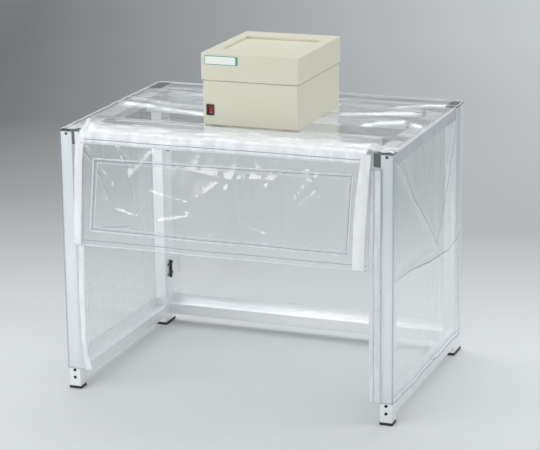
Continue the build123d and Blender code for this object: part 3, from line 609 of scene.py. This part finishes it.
def wave(s, t, kind, seed=0):
    """Soft relief of one kind. seed is added to the kind's own."""
    return kind.height * (kind.rest + smooth_noise(s, t, kind.cell_s, kind.cell_t, kind.seed + seed))


def smooth_step(value, low, high):
    """0 below low, 1 above high, smooth between."""
    x = np.clip((value - low) / (high - low), 0, 1)
    return x * x * (3 - 2 * x)


def crease(s, t, path, width, height, sharpness=1.3):
    """A raised fold along a line of points, highest along its middle and fading at both ends."""
    nearest = np.full(np.broadcast(s, t).shape, 1e3)
    place = np.zeros_like(nearest)
    lengths = [math.dist(a, b) for a, b in zip(path, path[1:])]
    total = sum(lengths)
    done = 0.0
    for (a, b), length in zip(zip(path, path[1:]), lengths):
        ds, dt = b[0] - a[0], b[1] - a[1]
        along = np.clip(((s - a[0]) * ds + (t - a[1]) * dt) / (length * length), 0, 1)
        gap = np.hypot(s - a[0] - along * ds, t - a[1] - along * dt)
        closer = gap < nearest
        nearest = np.where(closer, gap, nearest)
        place = np.where(closer, (done + along * length) / total, place)
        done += length
    fade = smooth_step(place, 0.0, CREASE_FADE) * smooth_step(1 - place, 0.0, CREASE_FADE)
    return height * (CREASE_END + (1 - CREASE_END) * fade) * np.exp(-(nearest / width) ** sharpness)


def crumple(s, t, kind, seed=0):
    """Short, randomly turned creases, as in film that has been folded away."""
    rng = np.random.default_rng(kind.seed + seed)
    total = np.zeros(np.broadcast(s, t).shape)
    for _ in range(kind.count):
        a = (rng.uniform(*kind.s_range), rng.uniform(*kind.t_range))
        angle = rng.normal(math.pi / 2, CRUMPLE_TURN)
        length = rng.uniform(*CRUMPLE_LENGTH)
        ds, dt = length * math.cos(angle), length * math.sin(angle)
        middle = (a[0] + 0.5 * ds + rng.normal(0, CRUMPLE_BEND), a[1] + 0.5 * dt)
        end = (a[0] + ds, a[1] + dt)
        width = rng.uniform(*CRUMPLE_WIDTH)
        total += crease(s, t, (a, middle, end), width, rng.choice(CRUMPLE_SIGNS) * kind.height)
    return total


def steps(low, high, size=GRID):
    """Evenly spaced values from low to high, no further apart than size."""
    return np.linspace(low, high, max(2, math.ceil((high - low) / size) + 1))


def add_mesh(name, points, faces, material):
    """A smooth-shaded mesh object."""
    mesh = bpy.data.meshes.new(name)
    mesh.from_pydata([tuple(point) for point in points], [], faces)
    mesh.materials.append(material)
    mesh.shade_smooth()
    mesh.update()
    thing = bpy.data.objects.new(name, mesh)
    scene.collection.objects.link(thing)
    return thing


def add_sheet(name, surface, s_values, t_values, material, keep=None):
    """A sheet whose points come from surface(s, t). keep says which cells stay."""
    s, t = np.meshgrid(s_values, t_values)
    points = surface(s, t).reshape(-1, 3)
    columns = len(s_values)
    faces = []
    for j in range(len(t_values) - 1):
        for i in range(columns - 1):
            middle = ((s_values[i] + s_values[i + 1]) / 2, (t_values[j] + t_values[j + 1]) / 2)
            if keep is None or keep(*middle):
                a = j * columns + i
                faces.append((a, a + 1, a + 1 + columns, a + columns))
    used = sorted({corner for face in faces for corner in face})
    index = {old: new for new, old in enumerate(used)}
    return add_mesh(name, points[used], [tuple(index[c] for c in face) for face in faces], material)


def ribbon(path, out, width, thickness, sides=10):
    """Points and faces of a flattened roll along a path. out points away from the sheet below."""
    path = np.asarray(path, float)
    count = len(path)
    out = np.broadcast_to(np.asarray(out, float), path.shape)
    tangent = np.gradient(path, axis=0)
    tangent /= np.linalg.norm(tangent, axis=1, keepdims=True)
    side = np.cross(tangent, out)
    side /= np.linalg.norm(side, axis=1, keepdims=True)
    up = np.cross(side, tangent)
    half_width = np.broadcast_to(np.asarray(width, float) / 2, count)[:, None]
    half_depth = thickness / 2
    rings = []
    for k in range(sides):
        angle = 2 * math.pi * k / sides
        across = math.copysign(abs(math.cos(angle)) ** (2 / ROLL_SQUARENESS), math.cos(angle))
        away = math.copysign(abs(math.sin(angle)) ** (2 / ROLL_SQUARENESS), math.sin(angle))
        rings.append(path + side * half_width * across + up * half_depth * (away + 1))
    points = np.stack(rings, 1).reshape(-1, 3)
    faces = []
    for j in range(count - 1):
        for k in range(sides):
            a = j * sides + k
            b = j * sides + (k + 1) % sides
            faces.append((a, b, b + sides, a + sides))
    faces.append(tuple(range(sides - 1, -1, -1)))
    faces.append(tuple((count - 1) * sides + k for k in range(sides)))
    return points, faces


def add_ribbons(name, ribbons, material, body, nodes=()):
    """Several ribbons as one piece on a body."""
    points, faces = [], []
    for some_points, some_faces in ribbons:
        start = len(points)
        points.extend(some_points)
        faces.extend(tuple(corner + start for corner in face) for face in some_faces)
    return declare(add_mesh(name, points, faces, material), body, nodes)


def roll(surface, s, t, out, line):
    """A ribbon over a surface. Either s or t may be one number for the whole length."""
    return ribbon(surface(*np.broadcast_arrays(s, t)), out, line.width, line.thickness)


def resample(path, size):
    """Points along a line of points, about size apart."""
    points = []
    for a, b in zip(path, path[1:]):
        count = max(1, round(math.dist(a, b) / size))
        points += [tuple(p + (q - p) * k / count for p, q in zip(a, b)) for k in range(count)]
    return np.array(points + [path[-1]])


def fold_lines(folds, surface, out, line):
    """Thin ribbons beside the higher folds: painted shadow lines or painted highlight lines, which stand in
    for the light and shade on folded vinyl.
    """
    found = []
    for path in [path for path, _, height in folds if height >= LEAST_LINED_FOLD]:
        flat = resample(path, FINE_STEP)
        along = np.gradient(flat, axis=0)
        along /= np.linalg.norm(along, axis=1, keepdims=True)
        flat = flat + line.inset * np.stack([-along[:, 1], along[:, 0]], -1)
        taper = np.sin(np.linspace(FOLD_LINE_TAPER, math.pi - FOLD_LINE_TAPER, len(flat)))
        found.append(ribbon(surface(flat[:, 0], flat[:, 1]), out, line.width * taper, line.thickness, 6))
    return found


def side_path(side, s):
    """Plan of a side panel: x, y and outward normal at s metres from its rear edge."""
    straight = SIDE_DEPTH - CORNER_RADIUS
    angle = np.clip((s - straight) / CORNER_RADIUS, 0, math.pi / 2)
    x = SIDE_X - CORNER_RADIUS + CORNER_RADIUS * np.cos(angle)
    y = np.where(s < straight, SIDE_REAR_Y - s, FRONT_Y + CORNER_RADIUS - CORNER_RADIUS * np.sin(angle))
    past = s - straight - CORNER_BEND
    x = np.where(past > 0, x - past, x)
    return side * x, y, side * np.cos(angle), -np.sin(angle)


def side_surface(side, folds, seed):
    """Surface of one side panel, by distance from the rear edge and height."""

    def relief(s, t):
        to_front = SIDE_DEPTH - s
        inside = smooth_step(s, 0.0, EDGE_FADE) * smooth_step(to_front, 0.0, EDGE_FADE)
        high = smooth_step(FILM_TOP - t, 0.0, EDGE_FADE)
        low = smooth_step(HEM_WAVES_TOP - t, 0.0, HEM_WAVES_FADE)
        fold_fade = smooth_step(to_front, *SIDE_FOLD_FADE)
        total = wave(s, t, SIDE_BULGE, seed) * inside * high
        total += wave(s, t, SIDE_RIPPLE, seed) * (SIDE_RIPPLE_EDGE + inside)
        total += wave(s, 0 * t, SIDE_HEM_WAVE, seed) * low * smooth_step(to_front, 0, HEM_FRONT_FADE)
        for path, width, height in folds:
            total += crease(SIDE_REAR_Y - s, t, path, width, height) * fold_fade
        total += crumple(s, t, SIDE_CRUMPLES, seed) * inside
        front = smooth_step(s, SIDE_DEPTH - SIDE_FRONT_BLEND, SIDE_DEPTH + SIDE_FRONT_BLEND)
        return np.maximum(total * (1 - front) + wave(s, t, SIDE_FRONT_WAVE, seed) * front, LEAST_LIFT)

    def surface(s, t):
        x, y, normal_x, normal_y = side_path(side, s)
        lift = relief(s, t)
        drop = wave(s, 0 * t, SIDE_HEM_DROP, seed) * smooth_step(HEM_DROP_TOP - t, 0, HEM_DROP_FADE)
        return np.stack([x + normal_x * lift, y + normal_y * lift, t + 0 * s + drop], -1)

    return surface


def back_surface(s, t):
    """Surface of the back panel: s runs from the left edge of its turned-in flap, round both corners."""
    radius = CORNER_RADIUS
    start = SIDE_REAR_Y + PANEL_GAP
    straight = 2 * SIDE_X - 2 * radius
    first = BACK_Y - start - radius
    x = np.zeros(np.broadcast(s, t).shape) - SIDE_X
    y = start + s
    angle = np.clip((s - first) / radius, 0, math.pi / 2)
    turned = s > first
    x = np.where(turned, -SIDE_X + radius * (1 - np.cos(angle)), x)
    y = np.where(turned, BACK_Y - radius + radius * np.sin(angle), y)
    after = s - first - CORNER_BEND
    x = np.where(after > 0, -SIDE_X + radius + after, x)
    second = np.clip((after - straight) / radius, 0, math.pi / 2)
    x = np.where(after > straight, SIDE_X - radius + radius * np.sin(second), x)
    y = np.where(after > straight, BACK_Y - radius + radius * np.cos(second), y)
    last = after - straight - CORNER_BEND
    y = np.where(last > 0, BACK_Y - radius - last, y)
    inside = smooth_step(SIDE_X - BACK_MARGIN - np.abs(x), 0.0, EDGE_FADE)
    lift = wave(s, t, BACK_BULGE) * smooth_step(FILM_TOP - BACK_MARGIN - t, 0.0, BACK_TOP_FADE)
    lift = lift + wave(s, t, BACK_RIPPLE) + crumple(x, t, BACK_CRUMPLES)
    return np.stack([x + 0 * t, y + np.maximum(lift, 0) * inside, t + 0 * s], -1)


def top_surface(x, y):
    """Surface of the top sheet. It lies on the rails and beams, and stands up in long soft folds."""
    edge = smooth_step(SIDE_X - np.abs(x), 0.0, TOP_EDGE_FADE) * smooth_step(BACK_Y - y, 0, TOP_EDGE_FADE)
    lift = wave(x, y, TOP_BULGE) * edge + wave(x, y, TOP_RIPPLE)
    for path, width, height in TOP_FOLDS:
        lift = lift + crease(x, y, path, width, height, TOP_FOLD_SHARPNESS)
    lift = lift + crumple(y, x, TOP_CRUMPLES) * edge
    front = smooth_step(FLAP_Y + TOP_FRONT_FADE - y, 0.0, TOP_FRONT_FADE)
    return np.stack([x + 0 * y, y + 0 * x, TOP_Z + np.maximum(lift * (1 - front), 0.0)], -1)


def flap_surface(x, z):
    """Surface of the front flap: it hangs from the front edge with slight waves."""
    down = smooth_step(FLAP_WAVES_TOP - z, 0.0, FLAP_WAVES_FADE)
    lift = sum(wave(x, z, kind) for kind in FLAP_WAVES) * down
    for path, width, height in FLAP_FOLDS:
        lift = lift + crease(x, z, path, width, height)
    lift = lift + crumple(x, z, FLAP_CRUMPLES)
    return np.stack([x + 0 * z, FLAP_Y - FRONT_GAP - np.maximum(lift, 0.0) + 0 * x, z + 0 * x], -1)


def band_surface(x, s):
    """Surface of the front band: s runs from the lip's lower edge up, over the front edge and back."""
    rise = TOP_Z - BAND_LOW.z - BAND_RADIUS
    bend = BAND_RADIUS * math.pi / 2
    angle = np.clip((s - rise) / BAND_RADIUS, 0, math.pi / 2)
    y = BAND_LOW.y + FRONT_GAP + BAND_RADIUS * (1 - np.cos(angle)) + np.maximum(s - rise - bend, 0)
    z = BAND_LOW.z + np.minimum(s, rise) + BAND_RADIUS * np.sin(angle) + BAND_RISE
    over = smooth_step(s, rise, rise + bend)
    lift = np.maximum(sum(wave(x, s, kind) for kind in BAND_WAVES), 0.0)
    crown = BAND_CROWN * np.sin(math.pi * np.clip((s - rise) / (BAND_LENGTH - rise), 0, 1))
    ear = BAND_EAR_HEIGHT * np.exp(-((x - BAND_EAR_X) / BAND_EAR_WIDTH) ** 2)
    return np.stack([x + 0 * s, y - lift * (1 - over), z + (lift + crown + ear) * over], -1)


def corner_surface(side):
    """Surface of the doubled film that is folded over a front corner."""

    def surface(x, y):
        rise = DOUBLED_RISE * smooth_step(DOUBLED_RISE_X - np.abs(x), 0.0, DOUBLED_RISE_FADE)
        lift = DOUBLED_LIFT + wave(x, y, DOUBLED_WAVE, side) + rise
        edge = smooth_step(SIDE_X - np.abs(x), 0.0, DOUBLED_EDGE_FADE)
        return np.stack([x + 0 * y, y + 0 * x, TOP_Z + DOUBLED_GAP + lift * edge], -1)

    return surface


def declare(piece, body, nodes=()):
    """Says which body a piece rides on, and the nodes that it stands for."""
    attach(piece, body)
    if nodes:
        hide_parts(*nodes)
    return piece


def build_side_film(side, materials):
    """One side panel with its bottom hem, corner line, fold lines and front strip."""
    name = "left" if side < 0 else "right"
    folds = LEFT_FOLDS if side < 0 else RIGHT_FOLDS
    surface = side_surface(side, folds, LEFT_SEED if side < 0 else RIGHT_SEED)
    body = name + "_frame"
    panel = add_sheet(name + "_film_panel", surface, steps(0, SIDE_LENGTH), steps(FILM_BOTTOM, FILM_TOP),
                      materials["side_film"])
    declare(panel, body, [name + "_side_film"])
    s = steps(0.0, SIDE_LENGTH, HEM_STEP)
    t = steps(FILM_BOTTOM, FILM_TOP, LINE_STEP)
    out = (side, 0, 0)
    normal = np.stack([*side_path(side, s)[2:], 0 * s], -1)
    edges = [
        roll(surface, s, FILM_BOTTOM + SIDE_HEM_ROLL.inset, normal, SIDE_HEM_ROLL),
        roll(surface, SIDE_CORNER_S, t, (side * 0.7, -0.7, 0), SIDE_CORNER_ROLL),
    ]
    welds = [
        roll(surface, s, FILM_BOTTOM + SIDE_HEM_WELD.inset, normal, SIDE_HEM_WELD),
        roll(surface, SIDE_REAR_WELD.inset, t, out, SIDE_REAR_WELD),
        roll(surface, SIDE_CORNER_S - SIDE_CORNER_WELD.inset, t, out, SIDE_CORNER_WELD),
    ]

    def by_depth(y, z):
        return surface(SIDE_REAR_Y - y, z)

    # Dark ribbons are painted shadow and light ribbons are painted highlight along the folds
    shadows = fold_lines(folds, by_depth, out, FOLD_SHADOW)
    lights = fold_lines(folds, by_depth, out, FOLD_PAINTED_HIGHLIGHT)
    pieces = [add_ribbons(name + tag, ribbons, materials[finish], body) for tag, ribbons, finish in (
        ("_film_edges", edges, "film_edge"), ("_film_welds", welds, "film_line"),
        ("_fold_shadows", shadows, "fold_painted_shade"), ("_fold_painted_highlights", lights, "fold_painted_highlight"))]
    if side < 0:
        build_left_strip(body, materials)
    else:
        build_right_strips(body, materials)


def value_at(pairs, z):
    """Values at heights z, on straight lines between pairs of height and value."""
    heights, values = zip(*pairs)
    return np.interp(z, heights, values)


def front_path(x, y, z):
    """Points of an upright line, where y may be one number for the whole length."""
    return np.stack(np.broadcast_arrays(x, y, z), -1)


def build_left_strip(body, materials):
    """The white strip down the front edge of the left panel."""
    z = steps(FILM_BOTTOM, FILM_TOP, FINE_STEP)
    path = front_path(value_at(LEFT_STRIP_MIDDLE, z) + wave(z, 0 * z, STRIP_SWAY), FRONT_Y - STRIP_GAP, z)
    strip = ribbon(path, TO_FRONT, value_at(LEFT_STRIP_WIDTH, z), LEFT_STRIP_THICKNESS, 14)
    add_ribbons("left_strip", [strip], materials["white_film"], body, ["left_front_hem"])


def build_right_strips(body, materials):
    """The two clear double strips down the front edge of the right panel."""
    z = steps(FILM_BOTTOM, RIGHT_STRIP_TOP, FINE_STEP)
    sway = wave(z, 0 * z, STRIP_SWAY, 1)
    for tag, middle, width, nodes in RIGHT_STRIPS:
        path = front_path(middle + sway, FRONT_Y - STRIP_GAP, z)
        strip = ribbon(path, TO_FRONT, width, RIGHT_STRIP_THICKNESS, 12)
        add_ribbons("right_strip_" + tag, [strip], materials["soft_white"], body, nodes)


def build_back_film(materials):
    """The back panel with its bottom hem."""
    panel = add_sheet("back_film_panel", back_surface, steps(0, BACK_LENGTH), steps(FILM_BOTTOM, FILM_TOP),
                      materials["film"])
    declare(panel, "rear_frame", ["back_film"])
    s = steps(BACK_MARGIN, BACK_LENGTH - BACK_MARGIN, FINE_STEP)
    hems = [roll(back_surface, s, FILM_BOTTOM + line.inset, (0, 1, 0), line) for line in BACK_HEMS]
    hem = add_ribbons("back_film_welds", hems, materials["film_line"], "rear_frame")


def steps_round(low, hole, high):
    """Grid values from low to high that have a line at each edge of a hole."""
    return np.concatenate([steps(low, hole[0])[:-1], steps(*hole)[:-1], steps(hole[1], high)])


def build_top_film(materials):
    """The top sheet round the fan unit, with the welded seam along its edges."""
    hole_x = (CASE_LOW.x - HOLE_GAP, CASE_HIGH.x + HOLE_GAP)
    hole_y = (CASE_LOW.y - HOLE_GAP, CASE_HIGH.y + HOLE_GAP)

    def outside_fan(x, y):
        return not (hole_x[0] < x < hole_x[1] and hole_y[0] < y < hole_y[1])

    panel = add_sheet("top_film_sheet", top_surface, steps_round(-SIDE_X, hole_x, SIDE_X),
                      steps_round(FLAP_Y, hole_y, BACK_Y), materials["film"], outside_fan)
    declare(panel, "top_assembly", ["top_film"])
    x = steps(-SIDE_X, SIDE_X, LINE_STEP)
    y = steps(FLAP_Y + TOP_SEAM_START, BACK_Y, LINE_STEP)
    seams, welds = ([roll(top_surface, side * (SIDE_X - line.inset), y, UP, line) for side in (-1, 1)]
                    for line in (TOP_SIDE_SEAM, TOP_WELD))
    seams.append(roll(top_surface, x, BACK_Y - TOP_BACK_SEAM.inset, UP, TOP_BACK_SEAM))
    # Light ribbons along the top folds are painted highlight
    lights = fold_lines(TOP_FOLDS, top_surface, UP, TOP_FOLD_PAINTED_HIGHLIGHT)
    pieces = [
        add_ribbons("top_film_seams", seams, materials["soft_white"], "top_assembly"),
        add_ribbons("top_film_welds", welds, materials["film_edge"], "top_assembly"),
        add_ribbons("top_fold_painted_highlights", lights, materials["fold_painted_highlight"], "top_assembly"),
    ]


def build_corner_folds(materials):
    """Doubled film over the two front corners, where the cover is folded like a parcel."""
    near = FLAP_Y + DOUBLED_START
    for side, tag in ((-1, "left"), (1, "right")):
        ends = sorted((side * DOUBLED_INNER_X, side * (SIDE_X - DOUBLED_GAP)))
        fold = add_sheet(f"top_{tag}_corner_fold", corner_surface(side), steps(*ends, FINE_GRID),
                         steps(near, near + DOUBLED_LENGTH, FINE_GRID), materials["soft_white"])
        declare(fold, "top_assembly")


def flap_ring(line):
    """Four ribbons round the welded rectangle on the flap, moved in by the line's inset."""
    ring = [(x - math.copysign(line.inset, x), z - math.copysign(line.inset, z - FLAP_RING_MIDDLE))
            for x, z in FLAP_RING_CORNERS]
    found = []
    for start, end in zip(ring, ring[1:] + ring[:1]):
        flat = resample((start, end), LINE_STEP)
        found.append(roll(flap_surface, flat[:, 0], flat[:, 1], TO_FRONT, line))
    return found


def build_flap(materials):
    """The front flap: clear sheet, two welded rectangles, bottom hem and side hems."""
    panel = add_sheet("front_flap_sheet", flap_surface, steps(-FLAP_HALF, FLAP_HALF),
                      steps(FLAP_BOTTOM, TOP_Z), materials["film"])
    declare(panel, "top_assembly", ["front_flap"])
    x = steps(-FLAP_HALF, FLAP_HALF, LINE_STEP)
    welds = [part for line in FLAP_RINGS for part in flap_ring(line)]
    welds.append(roll(flap_surface, x, FLAP_BOTTOM + FLAP_HEM_ROLL.inset, TO_FRONT, FLAP_HEM_ROLL))
    lines = flap_ring(FLAP_RING_LINE)
    lines.append(roll(flap_surface, x, FLAP_BOTTOM + FLAP_HEM_LINE.inset, TO_FRONT, FLAP_HEM_LINE))
    pieces = [
        add_ribbons("flap_welds", welds, materials["soft_white"], "top_assembly"),
        add_ribbons("flap_weld_lines", lines, materials["film_edge"], "top_assembly"),
    ]
    pieces + build_flap_hems(materials)


def build_flap_hems(materials):
    """The white rolls down both sides of the flap. The left one stands up at the top in a short peak."""
    z = steps(FLAP_BOTTOM, LEFT_HEM_PEAK, HEM_STEP)
    y = FLAP_Y - LEFT_HEM_GAP + LEFT_HEM_LEAN * smooth_step(z, LEFT_HEM_LEAN_START, LEFT_HEM_PEAK)
    width = LEFT_HEM_WIDTH - LEFT_HEM_TAPER * smooth_step(z, LEFT_HEM_TAPER_START, LEFT_HEM_PEAK)
    left = ribbon(front_path(value_at(LEFT_HEM_MIDDLE, z), y, z), TO_FRONT, width, HEM_THICKNESS, 14)
    z = steps(FLAP_BOTTOM, TOP_Z - RIGHT_HEM_TOP_GAP, HEM_STEP)
    x = value_at(RIGHT_HEM_MIDDLE, z) + wave(z, 0 * z, HEM_SWAY)
    path = front_path(x, FLAP_Y - RIGHT_HEM_GAP, z)
    right = ribbon(path, TO_FRONT, value_at(RIGHT_HEM_WIDTH, z), HEM_THICKNESS, 14)
    white = materials["white_film"]
    return [add_ribbons("flap_left_hem", [left], white, "top_assembly", ["flap_side_hems"]),
            add_ribbons("flap_right_hem", [right], white, "top_assembly")]


def build_band(materials):
    """The band over the front edge, painted white: doubled film over the front rail plus a painted
    highlight, with a line welded along its lip.
    """
    band = add_sheet("front_band", band_surface, steps(-FLAP_HALF, FLAP_HALF),
                     steps(0, BAND_LENGTH, BAND_GRID), materials["band_white_and_painted_highlight"])
    declare(band, "top_assembly", ["front_film_band"])
    x = steps(-FLAP_HALF, FLAP_HALF, LINE_STEP)
    for name, line, finish in (("band_lip", BAND_LIP, "soft_white"), ("band_line", BAND_LINE, "film_edge")):
        rolls = [roll(band_surface, x, line.inset, TO_FRONT, line)]
        add_ribbons(name, rolls, materials[finish], "top_assembly")


def build_label(materials):
    """A bare rating plate on the fan unit: white, with a plain green rim that is wider at one end."""
    front = CASE_LOW.y
    for tag, inset, right, depth, finish in LABEL_LAYERS:
        outline = rounded_outline(LABEL_X[0] + inset, LABEL_X[1] - inset - right, LABEL_Z[0] + inset,
                                  LABEL_Z[1] - inset, LABEL_RADIUS - inset)
        count = len(outline)
        points = [(x, front, z) for x, z in outline] + [(x, front - depth, z) for x, z in outline]
        faces = [tuple(range(count)), tuple(range(2 * count - 1, count - 1, -1))]
        faces += [(k, k + count, (k + 1) % count + count, (k + 1) % count) for k in range(count)]
        plate = add_mesh("label_" + tag, points, faces, materials[finish])
        plate.data.shade_flat()
        declare(plate, "top_assembly")


def rounded_outline(x0, x1, z0, z1, radius):
    """Points of a rounded rectangle, seven at each corner."""
    points = []
    for cx, cz, start in ((x1 - radius, z1 - radius, 0), (x0 + radius, z1 - radius, 90),
                          (x0 + radius, z0 + radius, 180), (x1 - radius, z0 + radius, 270)):
        for step in range(7):
            angle = math.radians(start + 15 * step)
            points.append((cx + radius * math.cos(angle), cz + radius * math.sin(angle)))
    return points


def make_materials():
    """Every finish by name."""
    tube = (0.945, 0.955, 0.965)
    return {
        "tube_x": coated("aluminium_along_x", tube, 0.40, 420, 0.00004, 1.0, (0.02, 1, 1)),
        "tube_y": coated("aluminium_along_y", tube, 0.40, 420, 0.00004, 1.0, (1, 0.02, 1)),
        "tube_z": coated("aluminium_along_z", tube, 0.40, 420, 0.00004, 1.0, (1, 1, 0.02)),
        "plate": coated("hook_plate", (0.78, 0.80, 0.81), 0.35, 500, 0.00003, 1.0),
        "black": coated("black_moulding", (0.018, 0.018, 0.020), 0.42, 900, 0.00005, tone=0.15),
        "black_steel": coated("black_steel", (0.035, 0.036, 0.040), 0.35, 700, 0.00003, 0.85, tone=0.15),
        "hinge": hinge_finish("hinge_leaf"),
        "pin": coated("steel_pin", (0.62, 0.63, 0.64), 0.25, 700, 0.00002, 1.0),
        "cream": coated("cream_paint", (0.70, 0.68, 0.55), 0.38, 620, 0.00005, tone=0.012, rough_tone=0.05),
        "zinc": coated("zinc_plate", (0.62, 0.64, 0.66), 0.35, 160, 0.00003, 1.0, tone=0.10),
        "rubber": coated("pad_rubber", (0.020, 0.020, 0.020), 0.75, 800, 0.00008, tone=0.15),
        "switch": coated("switch_moulding", (0.010, 0.010, 0.011), 0.25, 900, 0.00002, tone=0.10),
        "red": coated("rocker_red", (0.34, 0.012, 0.018), 0.22, 500, 0.00002, tone=0.10),
        "impeller": coated("impeller_moulding", (0.30, 0.31, 0.32), 0.45, 700, 0.00004),
        "motor": coated("motor_paint", (0.10, 0.11, 0.12), 0.40, 500, 0.00005),
        "filter": pleated("filter_paper"),
        "film": film_material("clear_vinyl", (0.99, 0.995, 0.995), 0.10, 0.11),
        # Side film: painted light and shade, milkier low down and darker and clearer high up
        "side_film": film_material("clear_vinyl_side", (0.98, 0.985, 0.985), 0.30, 0.05,
                                   (0.80, 0.83, 0.84), 0.05),
        "film_edge": white_vinyl("vinyl_edge", (0.46, 0.49, 0.58), 0.50, 0.15),
        "film_line": white_vinyl("vinyl_weld", (0.80, 0.83, 0.90), 0.45, 0.15),
        # Colours of the painted shadow and painted highlight lines beside the folds
        "fold_painted_shade": white_vinyl("vinyl_fold_shadow", (0.28, 0.31, 0.34), 0.48, 0.15),
        "fold_painted_highlight": white_vinyl("vinyl_fold_painted_highlight", (0.97, 0.98, 1.0), 0.42, 0.12),
        "soft_white": white_vinyl("vinyl_double", (0.86, 0.88, 0.90), 0.74, 0.18),
        "white_film": white_vinyl("vinyl_white", (0.95, 0.965, 0.98), 0.90, 0.20),
        # Painted highlight: the band over the front edge is near-opaque white, partly doubled film and
        # partly painted highlight
        "band_white_and_painted_highlight": white_vinyl("vinyl_band_painted_highlight", (0.94, 0.955, 0.97), 0.92, 0.12),
        "label_white": coated("label_white", (0.86, 0.88, 0.87), 0.35, 400, 0.00002, tone=0.01),
        "label_green": coated("label_green", (0.03, 0.33, 0.20), 0.35, 400, 0.00002, tone=0.03),
    }


def finish_nodes(materials):
    """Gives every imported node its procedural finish."""
    for finish, names in FINISHES.items():
        for name in names:
            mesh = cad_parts[name].data
            mesh.materials.clear()
            mesh.materials.append(materials[finish])


def add_floor():
    """A large sheet of pale studio paper under and behind the object."""
    half = FLOOR_HALF
    points = [(-half, -half, 0), (half, -half, 0), (half, half, 0), (-half, half, 0)]
    floor = add_mesh("floor", points, [(0, 1, 2, 3)], floor_material())


clear_scene()
scene.view_settings.view_transform = "Standard"
add_camera()
add_light()
add_floor()
finishes = make_materials()
finish_nodes(finishes)
for side in (-1, 1):
    build_side_film(side, finishes)
build_back_film(finishes)
build_top_film(finishes)
build_flap(finishes)
build_band(finishes)
build_corner_folds(finishes)
build_label(finishes)
